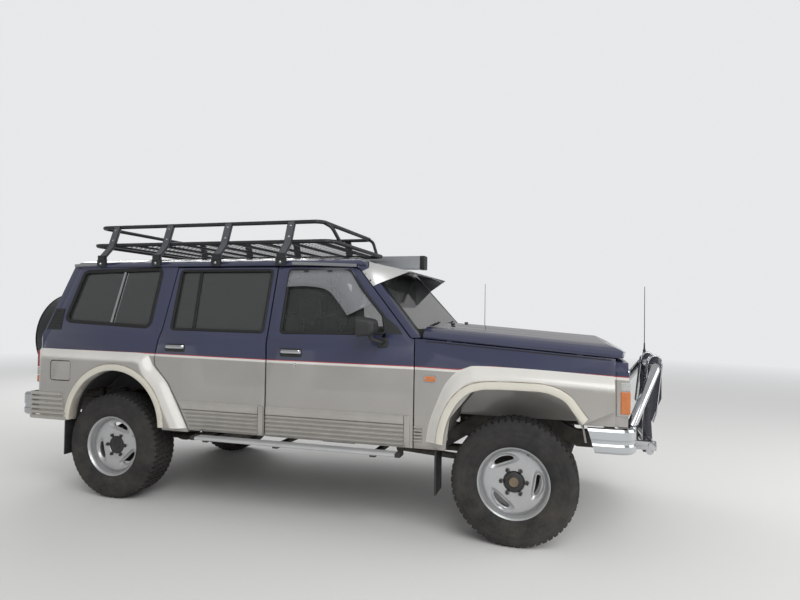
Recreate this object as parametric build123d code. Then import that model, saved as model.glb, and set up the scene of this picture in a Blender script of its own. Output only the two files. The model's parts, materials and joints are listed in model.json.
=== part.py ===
from build123d import *
from math import atan2, cos, radians, sin
import os

# A lifted long-wheelbase five-door off-road wagon, right-hand drive, on a ladder frame with live axles.
# Millimetres. X runs forward from the front axle, Y to the left, Z up from the ground. The last lines move
# every piece along X, so that the origin lies on the ground under the middle of the whole vehicle.

# Wheels
wheelbase = 2970
tyre_radius = 388.5
tyre_width = 272
tread_width = 216
wheel_inset = 105
bead_radius = 212
flange_radius = 221.5
rim_half_width = 102
hub_radius = 58
hub_back = 20
disc_thickness = 14
seat_gap = 0.3
slot_circle = 148
slot_length = 126
slot_width = 37
slot_turns = (117, -3, 237)
pocket_margin = 25
pocket_depth_y = 66

# Body shell
half_width = 895
sill_z = 540
bend_z = 1200
belt_z = 1235
gutter_z = 1750
gutter_half = 730
roof_crown_z = 1858
roof_thickness = 30
door_depth = 85
frame_depth = 40
ring_gap_low = 20
ring_gap_high = 18
ring_depth = 40
belt_ledge = 35
quarter_depth = 60
tail_depth = 60
glass_thickness = 5
glass_inset = 16

# Doors
door_front_x = -640
door_split_x = -1700
door_gap = 12
door_bottom_z = 555
door_top_z = 1737
seal_lap = 45
hinge_back = 30
hinge_inset = 22
hinge_radius = 9
hinge_height = 44
hinge_heights = (720, 1110)

# Front end
guard_front_x = 583
guard_depth = 40
bonnet_rear_x = -592
bonnet_front_x = 700
shut_rear_z = 1258
shut_slope = 0.0726
bonnet_gap = 6
bonnet_height = 85
bonnet_thickness = 25
inner_wing_y = 425
panel_front_x = 655
grille_half = 485
lamp_margin = 105
wiper_back = 36
bonnet_pin_y = 640
bonnet_pin_back = 9
bonnet_pin_z = 1318
lamp_low_z = 838
lamp_high_z = 1096

# Windscreen
screen_low = (-650, 1322)
screen_high = (-1040, 1765)

# Chassis
rail_inner_y = 365
rail_outer_y = 430
rail_height = 110
floor_z = 600
floor_thickness = 20
rear_floor_z = 790
kingpin_inset = 150
axle_tube_radius = 45
axle_tube_inset = 90
drum_width = 50
arm_reach = 850
spring_y = 492
spring_radius = 60
engine_half = 180

# Bumpers, bars and steps
bumper_front_x = 706
bumper_low_z = 613
bumper_high_z = 765
bumper_depth = 45
rear_bumper_x = -3840
rear_bumper_low_z = 580
rear_bumper_high_z = 755
bar_radius = 30
upright_y = 190
step_top_z = 532
step_width = 90

# Roof load gear
rack_lift = 187
rack_height = 153
rack_inset = 110
rack_flare = 50
rack_tube = 16
rack_nose = 100
rack_leg_width = 60
awning_length = 2500
awning_depth = 110
awning_height = 125
awning_drop = 107

# Back doors
back_split_y = 250
back_gap = 14
back_margin = 105
tail_corner = 70
hinge_out = 12
back_hinge_heights = (860, 1080)
back_low_z = 785
back_high_z = 1715
spare_y = -280
spare_z = 1165
spare_radius = 385
spare_width = 272
spare_carrier = 40

# Arch flares and lower mouldings
flare_proud = 50
lip_width = 46
lip_proud = 6
rib_proud = 8
fuel_flap_z = (869, 1014)

# Sun visor
visor_tip = (-745, 1714)
visor_rear = (-1060, 1783)
visor_half = 620
visor_flange_z = (1602, 1706)
visor_plate = 8
visor_sheet = 4

# Driver's place
column_tilt = 28
wheel_centre = (-1090, -370, 1130)

# Worked out from the sizes above
rear_x = -wheelbase
axle_z = tyre_radius
wheel_y = half_width - wheel_inset
kingpin_y = wheel_y - kingpin_inset
tube_end_y = wheel_y - axle_tube_inset
step_outer_y = half_width + step_width
rack_low_z = gutter_z + rack_lift
rack_high_z = rack_low_z + rack_height
tail_x = rear_x - 738
lean = (half_width - gutter_half) / (gutter_z - bend_z)
back_half = half_width - back_margin
lamp_split_y = half_width - lamp_margin
rack_low_y = gutter_half - rack_inset
rack_high_y = rack_low_y - rack_flare
fuel_flap_x = (rear_x - 548, rear_x - 365)
hanger_x = rear_x + 640
hanger_z = 557
hanger_height = 34
all_x = (tail_x - 100, bumper_front_x)
all_y = (0, half_width + 100)
ring_outer = (door_depth + ring_gap_low, frame_depth + ring_gap_high)
ring_inner = (ring_outer[0] + ring_depth, ring_outer[1] + ring_depth)
ring_step_z = belt_z + 10
bar_front_x = 932
spare_back = tail_x - spare_carrier - spare_width
mid_x = (bar_front_x + spare_back) / 2


def box(x, y, z):
    """Block between two x, two y and two z."""
    size = (x[1] - x[0], y[1] - y[0], z[1] - z[0])
    return Pos((x[0] + x[1]) / 2, (y[0] + y[1]) / 2, (z[0] + z[1]) / 2) * Box(*size)


def outline(points, radius=0):
    """Flat face through the points, its corners rounded where a radius is given."""
    kept = [p for i, p in enumerate(points) if p != points[i - 1]]
    if radius:
        return make_face(FilletPolyline(*kept, radius=radius, close=True))
    return make_face(Polyline(*kept, close=True))


def side_plate(face, y):
    """Side-view face in (x, z), as a plate between two y."""
    return Pos(0, y[1], 0) * extrude(Plane.XZ * face, amount=y[1] - y[0])


def cross_plate(face, x):
    """Face in (y, z) seen along the vehicle, as a plate between two x."""
    return Pos(x[0], 0, 0) * extrude(Plane.YZ * face, amount=x[1] - x[0])


def plan_plate(face, z):
    """Plan-view face in (x, y), as a plate between two z."""
    return Pos(0, 0, z[0]) * extrude(face, amount=z[1] - z[0])


def rod(start, end, radius):
    """Round bar between two points."""
    axis = Vector(*end) - Vector(*start)
    seat = (Align.CENTER, Align.CENTER, Align.MIN)
    return Plane(origin=start, z_dir=axis) * Cylinder(radius, axis.length, align=seat)


def pipe(points, bend, radius):
    """Round bar along straight runs joined by arcs."""
    path = FilletPolyline(*points, radius=bend)
    return sweep(Plane(origin=path @ 0, z_dir=path % 0) * Circle(radius), path=path)


def sorted_pair(a, b):
    return (min(a, b), max(a, b))


def mirrored(shape):
    """The same piece on the other side of the vehicle."""
    return mirror(shape, about=Plane.XZ)


def skin_y(z, inset=0):
    """Half width of the body skin at a height, less an inset."""
    return half_width - max(0, z - bend_z) * lean - inset


def wall(outer, inner, x, z=(sill_z, gutter_z), step_z=belt_z, ledge=0):
    """Left side wall between two insets from the skin, each given below and above the belt."""
    low, top = z
    inner_z = step_z + ledge
    section = [
        (skin_y(low, outer[0]), low), (skin_y(bend_z, outer[0]), bend_z), (skin_y(step_z, outer[0]), step_z),
        (skin_y(step_z, outer[1]), step_z), (skin_y(top, outer[1]), top), (skin_y(top, inner[1]), top),
        (skin_y(inner_z, inner[1]), inner_z), (skin_y(inner_z, inner[0]), inner_z),
        (skin_y(bend_z, inner[0]), bend_z), (skin_y(low, inner[0]), low),
    ]
    return cross_plate(outline(section), x)


# Side-view outlines, columns x, z
front_door_line = [
    (door_front_x, door_bottom_z), (door_front_x, belt_z + 15), (door_front_x - 32, belt_z + 27),
    (-1070, door_top_z - 25), (-1125, door_top_z),
    (door_split_x + door_gap / 2, door_top_z), (door_split_x + door_gap / 2, door_bottom_z),
]
rear_door_line = [
    (door_split_x - door_gap / 2, door_bottom_z), (door_split_x - door_gap / 2, door_top_z),
    (rear_x + 432, door_top_z), (rear_x + 406, 1274), (rear_x + 357, 1057), (rear_x + 366, 1005),
    (rear_x + 480, 885), (rear_x + 565, 745), (rear_x + 665, door_bottom_z),
]
front_window_line = [(door_split_x + 95, 1272), (-838, 1282), (-868, 1400), (-1030, 1575), (-1140, 1712),
                     (door_split_x + 95, 1720)]
rear_window_line = [
    (door_split_x - 40, 1272), (door_split_x - 40, 1718), (rear_x + 463, 1718), (rear_x + 473, 1277),
]
quarter_window_line = [
    (rear_x + 285, 1287), (rear_x + 288, 1735), (rear_x - 440, 1715), (rear_x - 508, 1319),
]
tail_line = [(tail_x, 567), (tail_x, 1110), (tail_x + 58, 1250), (tail_x + 182, gutter_z)]
rear_arch = Pos(rear_x + 35, 560) * Circle(400)
front_arch_line = [(-440, 460), (-400, 760), (-245, 957), (155, 962), (320, 900), (400, 740), (450, 460)]
front_arch = outline(front_arch_line, 60)


def shifted(points, dx, dz=0):
    return [(x + dx, z + dz) for x, z in points]


def tail_band(depth_from, depth_to):
    """Slab that follows the tail, between two depths from its outer face."""
    outer = shifted(tail_line, depth_from)
    inner = shifted(tail_line, depth_to)
    return outline(outer + inner[::-1])


def body_side():
    """Left pillars, cant rail and sill in one ring, with the rear quarter and its window opening."""
    ring_line = [
        (door_front_x + 40, sill_z), (door_front_x + 40, belt_z + 20), (screen_low[0] - 8, screen_low[1]),
        (screen_high[0] + 13, gutter_z), (rear_x + 330, gutter_z), (rear_x + 330, sill_z + 520),
        (rear_x + 600, sill_z + 80), (rear_x + 640, sill_z),
    ]
    ring = wall(ring_outer, ring_inner, all_x, step_z=ring_step_z, ledge=belt_ledge)
    ring &= side_plate(outline(ring_line), all_y)
    for line in (front_door_line, rear_door_line):
        ring -= side_plate(offset(outline(line), -seal_lap), all_y)
    hinge_face = shifted(front_door_line[2:5], 10)
    screen_edge = [(screen_high[0] + 13, gutter_z), (screen_low[0] - 8, screen_low[1])]
    a_pillar_line = [(door_front_x + 40, belt_z + 30)] + hinge_face[:2] + [(-1112, gutter_z)] + screen_edge
    a_pillar = wall((0, 0), ring_inner, all_x) & side_plate(outline(a_pillar_line), all_y)
    door_back = shifted(rear_door_line[2:], 1 - door_gap)
    quarter_line = [(door_back[0][0], gutter_z)] + door_back + [
        (rear_x + 665 - door_gap, sill_z), (rear_x + 420, sill_z), (rear_x + 380, 567),
        (tail_x + tail_depth, 567), (tail_x + tail_depth, 1110), (tail_x + 58 + tail_depth, 1250),
        (tail_x + 182 + tail_depth, gutter_z),
    ]
    quarter = wall((0, 0), (quarter_depth, frame_depth), all_x) & side_plate(outline(quarter_line), all_y)
    c_post_line = [
        (door_back[0][0], gutter_z), door_back[0], door_back[1], door_back[2], (rear_x + 320, 1057),
        (rear_x + 320, 1250), (rear_x + 330, gutter_z),
    ]
    c_post = wall((0, 0), ring_inner, all_x) & side_plate(outline(c_post_line), all_y)
    quarter = quarter - side_plate(rear_arch, all_y) - side_plate(outline(quarter_window_line, 45), all_y)
    arms = hinge_arms(door_front_x) + hinge_arms(door_split_x - door_gap / 2)
    return ring + a_pillar + quarter + c_post + arms


def hinge_notches(lead_x):
    """Hollows in a left side door's leading edge for its two hinges; the skin runs on over them."""
    notches = None
    for z in hinge_heights:
        hollow = box((lead_x - hinge_back - 16, lead_x + 1), (half_width - door_depth - 1, half_width - 9),
                     (z - hinge_height / 2 - seat_gap, z + hinge_height / 2 + seat_gap))
        notches = hollow if notches is None else notches + hollow
    return notches


def hinge_arms(lead_x):
    """Arms on the pillar that end in the knuckle on a side door's hinge axis."""
    x, y = lead_x - hinge_back, half_width - hinge_inset
    arms = None
    for z in hinge_heights:
        span = (z - hinge_height / 2, z + hinge_height / 2)
        arm = box((x - 7, x + 7), (half_width - ring_outer[0], y), span)
        arm += Pos(x, y, z) * Cylinder(hinge_radius, hinge_height)
        arms = arm if arms is None else arms + arm
    return arms


def full_section(z_low):
    """Whole width of the body, seen along it."""
    right = [(half_width, z_low), (half_width, bend_z), (gutter_half, gutter_z)]
    return cross_plate(outline(right + [(-y, z) for y, z in right[::-1]]), all_x)


def rounded_tail(grow=0, end=None):
    """Plan outline with rounded rear corners, or one that stands off it; end is its rear face."""
    side = half_width + grow
    end = tail_x - grow if end is None else end
    corner = tail_corner + grow
    line = FilletPolyline(
        (0, -side), (end, -side), (end, side), (0, side), radius=[0, corner, corner, 0], close=True)
    return plan_plate(make_face(line), (0, gutter_z))


def back_door_face(side, inset=0, free_inset=0):
    """End-view outline of one back door, hinged at the outside and free at the split."""
    free = back_split_y + side * (back_gap / 2 + free_inset)
    top = back_half - (back_high_z - bend_z) * lean
    return [
        (free, back_low_z), (side * (back_half - inset), back_low_z), (side * (back_half - inset), bend_z),
        (side * (top - inset), back_high_z), (free, back_high_z),
    ]


def tail_frame():
    band = side_plate(tail_band(0, tail_depth), (-half_width, half_width))
    band = band & full_section(567) & rounded_tail()
    gap = 8
    top = back_half - (back_high_z - bend_z) * lean
    opening = [
        (-back_half - gap, back_low_z - gap), (-back_half - gap, bend_z), (-top - gap, back_high_z + gap),
        (top + gap, back_high_z + gap), (back_half + gap, bend_z), (back_half + gap, back_low_z - gap),
    ]
    band -= cross_plate(outline(opening), all_x)
    band -= box(all_x, (-700, 700), (500, 690))
    for side in (-1, 1):
        for z in back_hinge_heights:
            leaf_y = sorted_pair(side * (back_half + 10), side * (back_half + 50))
            leaf = box((tail_x - 7, tail_x + 2), leaf_y, (z - 30, z))
            barrel = Pos(tail_x - hinge_out, side * (back_half + 8), z - 15) * Cylinder(10, 30)
            band += leaf + barrel
    return band


def back_door(side):
    """Skin with its flange over the split, and the thicker inner frame set back from the free edge."""
    skin = side_plate(tail_band(0, 8), (-half_width, half_width)) & cross_plate(
        outline(back_door_face(side)), all_x)
    inner = side_plate(tail_band(8, tail_depth), (-half_width, half_width)) & cross_plate(
        outline(back_door_face(side, 0, 18)), all_x)
    made = skin + inner - cross_plate(outline(back_window(side), 40), all_x)
    for z in back_hinge_heights:
        strap_y = sorted_pair(side * (back_half - 70), side * (back_half - 2))
        link_y = sorted_pair(side * (back_half - 20), side * (back_half + 6))
        strap = box((tail_x - 7, tail_x + 2), strap_y, (z + seat_gap, z + 30))
        barrel = Pos(tail_x - hinge_out, side * (back_half + 8), z + 15) * Cylinder(10, 30 - seat_gap)
        link = box((tail_x - hinge_out - 4, tail_x - 3), link_y, (z + seat_gap, z + 30))
        made += strap + link + barrel
    return made


def back_window(side):
    free = back_split_y + side * 75
    outer = skin_y(1290) - 190
    top = skin_y(1660) - 190
    return [(free, 1290), (side * outer, 1290), (side * top, 1660), (free, 1660)]


def back_glass(side):
    pane = side_plate(tail_band(glass_inset, glass_inset + glass_thickness), (-half_width, half_width))
    return pane & cross_plate(outline(back_window(side), 40), all_x)


def roof_section(half, drop):
    """Crowned roof seen along the vehicle."""
    edge = half - 40
    side_z = gutter_z + 45 - drop
    return make_face(
        Polyline((-half, gutter_z), (half, gutter_z))
        + ThreePointArc((half, gutter_z), (half - 11, gutter_z + 29 - drop * 0.6), (edge, side_z))
        + ThreePointArc((edge, side_z), (0, roof_crown_z - drop), (-edge, side_z))
        + ThreePointArc((-edge, side_z), (-half + 11, gutter_z + 29 - drop * 0.6), (-half, gutter_z)))


def roof_panel():
    rear = tail_x + 182
    front = screen_high[0]
    line = [
        (rear, gutter_z), (rear, gutter_z + 10), (rear + 60, gutter_z + 53), (rear + 240, gutter_z + 112),
        (front - 370, gutter_z + 114), (front - 150, gutter_z + 82), (front + 8, gutter_z + 16),
        (front + 13, gutter_z),
    ]
    shell = cross_plate(roof_section(gutter_half, 0), all_x)
    shell &= side_plate(outline(line), (-gutter_half, gutter_half))
    room = cross_plate(roof_section(gutter_half - ring_inner[1], roof_thickness), (rear + 70, front - 60))
    inner = shifted(line, 0, -roof_thickness)
    room &= side_plate(outline([(rear + 70, 1700)] + inner[2:6] + [(front - 60, 1700)]), (-700, 700))
    drip = box((rear + 20, front + 5), (gutter_half - 3, gutter_half + 13), (gutter_z + 3, gutter_z + 14))
    return shell - room + drip + mirrored(drip)


def shut_z(x):
    """Height of the line where bonnet and guard meet."""
    return shut_rear_z - (x - door_front_x) * shut_slope


def bonnet_body(height, inset, x):
    """Crowned bonnet section carried forward along the falling shut line."""
    angle = atan2(shut_slope, 1)
    edge = half_width - guard_depth - 3 - inset
    section = make_face(
        Polyline((-edge, 0), (edge, 0)) + Line((edge, 0), (edge, 18))
        + ThreePointArc((edge, 18), (edge - 45, height - 32), (edge - 150, height - 14))
        + ThreePointArc((edge - 150, height - 14), (0, height), (150 - edge, height - 14))
        + ThreePointArc((150 - edge, height - 14), (45 - edge, height - 32), (-edge, 18))
        + Line((-edge, 18), (-edge, 0)))
    origin = (x[0], 0, shut_z(x[0]) + bonnet_gap)
    start = Plane(origin=origin, x_dir=(0, 1, 0), z_dir=(cos(angle), 0, -sin(angle)))
    return extrude(start * section, amount=(x[1] - x[0]) / cos(angle))


def bonnet():
    rear, front = bonnet_rear_x, bonnet_front_x
    shell = bonnet_body(bonnet_height, 0, (rear, front + 20))
    shell -= bonnet_body(bonnet_height - bonnet_thickness, bonnet_thickness, (rear - 40, front - 90))
    corner = front - 83
    back = rear - 60
    plan = make_face(
        Polyline((corner, half_width), (back, half_width), (back, -half_width), (corner, -half_width))
        + ThreePointArc((corner, -half_width), (front, 0), (corner, half_width)))
    nose = outline([
        (rear - 60, 1000), (rear - 60, 1500), (front - 200, 1500), (front - 190, shut_z(front) + 105),
        (front, shut_z(front) + 20), (front, 1000)])
    notch = box((rear - 5, rear + bonnet_pin_back + 15), (bonnet_pin_y - 20, bonnet_pin_y + 20),
                (bonnet_pin_z - 60, bonnet_pin_z + 60))
    shell -= notch + mirrored(notch)
    return shell & plan_plate(plan, (1000, 1500)) & side_plate(nose, (-half_width, half_width))


def bonnet_hinges():
    """Arms on the scuttle that end in the knuckles on the bonnet's hinge axis."""
    pin_x = bonnet_rear_x + bonnet_pin_back
    low_y, high_y = bonnet_pin_y - 15, bonnet_pin_y + 15
    arm = side_plate(outline([
        (bonnet_rear_x - 16, 1300), (pin_x + 4, bonnet_pin_z - 6), (pin_x - 2, bonnet_pin_z + 6),
        (bonnet_rear_x - 16, 1309)]), (low_y, high_y))
    arm += rod((pin_x, low_y, bonnet_pin_z), (pin_x, high_y, bonnet_pin_z), 8)
    return arm + mirrored(arm)


def guard():
    """Left front guard with the arch liner and the inner wing in one piece."""
    rear = door_front_x + 8
    line = [
        (rear, door_bottom_z), (rear, shut_z(rear)), (bonnet_rear_x, shut_z(bonnet_rear_x)),
        (guard_front_x, shut_z(guard_front_x)), (guard_front_x, bumper_high_z + 8),
        (380, bumper_high_z + 8), (380, door_bottom_z),
    ]
    panel = side_plate(outline(line), (half_width - guard_depth, half_width)) - side_plate(front_arch, all_y)
    for step in range(4):
        z = 602 + step * 27
        panel += box((rear + 8, rear + 52), (half_width - 5, half_width + rib_proud), (z, z + 13))
    inner_y = half_width - guard_depth - seat_gap
    liner = side_plate(offset(front_arch, 14) - offset(front_arch, 2), (inner_wing_y, inner_y))
    liner -= box((-700, 700), all_y, (0, 660))
    front_low = shut_z(guard_front_x) - 60
    rear_low = shut_z(rear) - 60
    shelf = side_plate(outline([
        (rear + 36, rear_low), (guard_front_x, front_low), (guard_front_x, front_low + 15),
        (rear + 36, rear_low + 15)]), (inner_wing_y, inner_y))
    wing = side_plate(outline([
        (door_front_x + 36, 715), (door_front_x + 36, rear_low), (guard_front_x - 25, front_low),
        (guard_front_x - 25, 715)]), (inner_wing_y, inner_wing_y + 15))
    inner = liner + shelf + wing
    for x in (-420, 380):
        inner += box((x - 15, x + 15), (inner_y - 25, inner_y - 5),
                     (shut_z(x) - 46, shut_z(x + 15) + bonnet_gap - seat_gap))
    return [panel, inner]


def flare(arch, edges):
    """Left arch flare, lofted from its edge on the skin out to its crease, with a lip round the opening."""
    foot = Plane.XZ.offset(-half_width) * outline([(x, z) for x, z, _, _ in edges])
    crest = Plane.XZ.offset(-half_width - flare_proud) * outline([(x, z) for _, _, x, z in edges])
    face = outline([(x, z) for _, _, x, z in edges])
    lip_face = offset(arch, lip_width) & face
    lip = side_plate(lip_face, (half_width + 1, half_width + flare_proud + lip_proud))
    return loft([foot, crest], ruled=True) + lip - side_plate(arch, all_y)


def floor_pan():
    """Cabin floor with its tunnel and load floor, the bulkhead with its scuttle, and the rear wheel boxes."""
    side = half_width - ring_inner[0]
    tunnel_room = box((-1700, 0), (-155, 155), (floor_z - 1, floor_z + 115))
    ramp_x = rear_x + 490
    floor = box((ramp_x, door_front_x + 15), (-side, side), (floor_z, floor_z + floor_thickness))
    tunnel = box((-1650, door_front_x + 15), (-170, 170), (floor_z, floor_z + 130))
    floor += tunnel
    rise = box((ramp_x - floor_thickness, ramp_x), (-side, side), (floor_z, rear_floor_z + floor_thickness))
    load = box((tail_x + tail_depth, ramp_x), (-side, side), (rear_floor_z, rear_floor_z + floor_thickness))
    box_y = 600
    box_radius = 416
    centre = Pos(rear_x + 35, 560)
    hole = side_plate(centre * Circle(box_radius + seat_gap), (box_y - seat_gap, half_width))
    shell = side_plate(centre * (Circle(box_radius) - Circle(box_radius - 14)),
                       (box_y, half_width - quarter_depth - seat_gap))
    disc = side_plate(centre * Circle(box_radius), (box_y, box_y + 15))
    wheel_box = shell + disc - box((rear_x - 500, rear_x + 600), (box_y - 1, half_width), (0, rear_floor_z))
    floor = floor + rise + load - tunnel_room - hole - mirrored(hole)
    bulkhead_x = door_front_x + 15 + seat_gap
    bulkhead = box((bulkhead_x, bulkhead_x + floor_thickness), (-side, side), (floor_z, bend_z))
    bulkhead -= tunnel_room
    scuttle_half = skin_y(ring_step_z + belt_ledge, ring_inner[0]) - seat_gap
    scuttle = side_plate(outline([
        (bulkhead_x, bend_z), (bonnet_rear_x - 12, bend_z), (bonnet_rear_x - 12, 1308),
        (screen_low[0] + 20, screen_low[1] - 6), (screen_low[0] - 6, screen_low[1] - 6)]),
        (-scuttle_half, scuttle_half))
    return [floor, bulkhead + scuttle + bonnet_hinges(), wheel_box, mirrored(wheel_box)]


def chassis_frame():
    """Two box rails that rise over the axles, the cross members between them, and the tow bar."""
    half = rail_height / 2
    # Columns x, height of the rail's middle
    stations = [
        (bumper_front_x - bumper_depth, 600), (380, 600), (250, 660), (-300, 660), (-520, 520),
        (rear_x + 500, 520), (rear_x + 310, 650), (rear_x - 280, 650), (rear_x - 430, 600),
        (rear_bumper_x + bumper_depth, 600),
    ]
    rail_line = shifted(stations, 0, -half) + shifted(stations, 0, half)[::-1]
    rail = side_plate(outline(rail_line), (rail_inner_y, rail_outer_y))
    for x in (-760, -1500, -2240):
        arm = box((x - 35, x + 35), (rail_outer_y, 735), (545, 575))
        rail += arm + Pos(x, 690, 587.5) * Cylinder(32, 25)
    for x, rail_top in ((rear_x + 200, 650 + half), (rear_x - 560, 600 + half)):
        rail += Pos(x, 397, (rail_top + rear_floor_z) / 2) * Cylinder(28, rear_floor_z - rail_top)
    for x, top in ((0, 660 + half), (rear_x, 650 + half)):
        rail += box((x - 140, x + 75), (rail_outer_y, spring_y + 65), (top - 20, top))
    rail += box((-40, 40), (engine_half, rail_inner_y), (680, 702))
    between = rail_inner_y - seat_gap
    members = []
    # Columns x of the middle, height of the middle, length along x, height
    for x, z, length, height in [
        (615, 600, 50, 70), (-540, 482, 80, 30), (-1180, 487, 90, 26),
        (hanger_x, hanger_z, 80, hanger_height),
        (rear_x - 90, 660, 60, 70), (rear_bumper_x + 230, 600, 60, 70),
    ]:
        members.append(box((x - length / 2, x + length / 2), (-between, between),
                           (z - height / 2, z + height / 2)))
    beam = box((rear_bumper_x + 140, rear_bumper_x + 200), (-rail_outer_y, rail_outer_y),
               (485, 600 - half - seat_gap))
    tongue = box((rear_bumper_x - 90, rear_bumper_x + 140), (-25, 25), (495, 535))
    plate = box((rear_bumper_x - 150, rear_bumper_x - 90), (-35, 35), (505, 525))
    bore = Pos(rear_bumper_x - 120, 0, 515) * Cylinder(11, 60)
    return [rail, mirrored(rail), *members, beam + tongue + plate - bore]


def axle(x, pumpkin_y, end_y, toward):
    """Live axle with its differential, spring pads and two arms; toward is the way its shaft leaves."""
    tube = rod((x, -end_y, axle_z), (x, end_y, axle_z), axle_tube_radius)
    housing = Pos(x, pumpkin_y, axle_z) * Sphere(135)
    nose = rod((x, pumpkin_y, axle_z), (x + toward * 230, pumpkin_y, axle_z + 20), 62)
    pad = box((x - 140, x + 70), (spring_y - 62, spring_y + 65), (axle_z + 30, axle_z + 50))
    arm_y = (rail_inner_y + rail_outer_y) / 2
    arm_end = (x + toward * arm_reach, arm_y, 465 - 30)
    arm = rod((x, arm_y, axle_z - 15), arm_end, 22)
    eye = rod((arm_end[0], rail_inner_y, arm_end[2]), (arm_end[0], rail_outer_y, arm_end[2]), 30 - seat_gap)
    side = pad + arm + eye
    return tube + housing + nose + side + mirrored(side)


def rear_axle():
    drum_y = tube_end_y - 10
    drum = rod((rear_x, drum_y, axle_z), (rear_x, drum_y + drum_width, axle_z), 150)
    hub = rod((rear_x, tube_end_y, axle_z), (rear_x, wheel_y + hub_back - seat_gap, axle_z), 48)
    return axle(rear_x, 0, tube_end_y, 1) + drum + hub + mirrored(drum + hub)


def suspension():
    """Coil springs as grooved columns, with a damper behind each."""
    made = []
    for x, top in ((0, 695), (rear_x, 685)):
        bottom = axle_z + 50
        turns = 6
        pitch = (top - bottom) / turns
        edge = Polyline((0, bottom), (spring_radius - 4, bottom))
        for turn in range(turns):
            z = bottom + turn * pitch
            edge += Polyline(
                (spring_radius - 4, z), (spring_radius, z + pitch * 0.3), (spring_radius, z + pitch * 0.5),
                (spring_radius - 16, z + pitch * 0.75), (spring_radius - 4, z + pitch))
        edge += Polyline((spring_radius - 4, top), (0, top), (0, bottom))
        spring = Pos(x, spring_y, 0) * revolve(Plane.XZ * make_face(edge), Axis.Z)
        damper = rod((x - 106, spring_y + 20, bottom), (x - 106, spring_y + 20, top - 110), 28)
        damper += rod((x - 106, spring_y + 20, bottom), (x - 106, spring_y + 20, top), 12)
        made += [spring, damper, mirrored(spring), mirrored(damper)]
    return made


def knuckle():
    """Left steering knuckle: swivel housing, kingpin caps, steering arm, brake and stub axle."""
    swivel = Pos(0, kingpin_y, axle_z) * Sphere(82)
    swivel -= box((-100, 100), (kingpin_y - 90, kingpin_y + 10), (axle_z - 100, axle_z + 100))
    caps = Pos(0, kingpin_y, axle_z) * Cylinder(34, 190)
    arm = box((-190, 0), (kingpin_y - 22, kingpin_y + 18), (axle_z - 96, axle_z - 72))
    brake = rod((0, kingpin_y + 60, axle_z), (0, kingpin_y + 84, axle_z), 150)
    stub = rod((0, kingpin_y, axle_z), (0, wheel_y + hub_back - seat_gap, axle_z), 48)
    return swivel + caps + arm + brake + stub


def tyre():
    """Left front tyre, centred on its wheel: a ring with rounded shoulders."""
    half = tyre_width / 2
    tread = tread_width / 2
    profile = make_face(
        Polyline((bead_radius, -rim_half_width), (bead_radius, rim_half_width), (240, half - 14))
        + ThreePointArc((240, half - 14), (305, half), (360, tread + 12))
        + Polyline((360, tread + 12), (tyre_radius, tread - 6), (tyre_radius, 6 - tread), (360, -tread - 12))
        + ThreePointArc((360, -tread - 12), (305, -half), (240, 14 - half))
        + Line((240, 14 - half), (bead_radius, -rim_half_width)))
    return revolve(profile, Axis.Y)


def rim():
    """Left wheel rim: barrel with flanges, dished disc with three slots in wider pockets, hub cap."""
    barrel = revolve(outline([
        (bead_radius - 14, -rim_half_width), (bead_radius, -rim_half_width), (bead_radius, rim_half_width),
        (flange_radius, rim_half_width + 10), (flange_radius - 5, rim_half_width + 12),
        (bead_radius - 14, rim_half_width - 6)]), Axis.Y)
    disc = revolve(make_face(
        Polyline((0, hub_back), (0, 66), (hub_radius, 66), (hub_radius + 12, 48))
        + ThreePointArc((hub_radius + 12, 48), (150, 74), (bead_radius - 12, 78))
        + Polyline((bead_radius - 12, 78), (bead_radius - 12, 78 - disc_thickness))
        + ThreePointArc((bead_radius - 12, 78 - disc_thickness), (150, 56), (hub_radius + 12, 30))
        + Polyline((hub_radius + 12, 30), (hub_radius + 12, hub_back), (0, hub_back))), Axis.Y)
    for turn in slot_turns:
        place = Rot(0, -turn, 0)
        disc -= place * slot_cutter(slot_length, slot_width, 10)
        disc -= place * slot_cutter(slot_length + 2 * pocket_margin, slot_width + 1.4 * pocket_margin,
                                    pocket_depth_y)
    return barrel + disc


def slot_cutter(length, width, depth_y):
    """Round-ended cutter across a wheel's radius, from outside the disc in to a depth."""
    face = Plane.XZ * (Pos(slot_circle, 0) * Rot(0, 0, 90) * SlotOverall(length, width))
    outer_y = 100
    return Pos(0, outer_y, 0) * extrude(face, amount=outer_y - depth_y)


def lower_moulding(x, face_y, slant=0):
    """Bright band with five ribs below it; slant is how far the lowest rib's rear end lies forward."""
    low, high = x
    made = box((low, high), (face_y - 5, face_y + rib_proud + 1), (700, 762))
    for step in range(5):
        z = 572 + step * 27
        made += box((low + slant * (1 - step / 5), high), (face_y - 5, face_y + rib_proud), (z, z + 13))
    return made


def door(line, window, ribs, slant):
    """Left door: panel as thick as the door, window frame, lower moulding with its ribs."""
    lead_x = line[0][0]
    panel = wall((0, 0), (door_depth, frame_depth), all_x) & side_plate(outline(line), all_y)
    panel -= side_plate(outline(window, 14), all_y)
    return panel + lower_moulding(ribs, half_width, slant) - hinge_notches(lead_x)


def pane(window):
    inset = (glass_inset, glass_inset)
    glass = wall(inset, (inset[0] + glass_thickness, inset[1] + glass_thickness), all_x)
    return glass & side_plate(outline(window, 14), all_y)


def handle(x, z):
    return box(x, (half_width - 5, half_width + 22), (z - 12, z + 12))


def mirror_head():
    """Left outside mirror on its foot."""
    arm = box((-870, -835), (skin_y(belt_z) - 4, half_width + 55), (1215, 1290))
    head = box((-960, -860), (half_width + 30, half_width + 210), (1262, 1395))
    return arm + fillet(head.edges(), 18)


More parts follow.
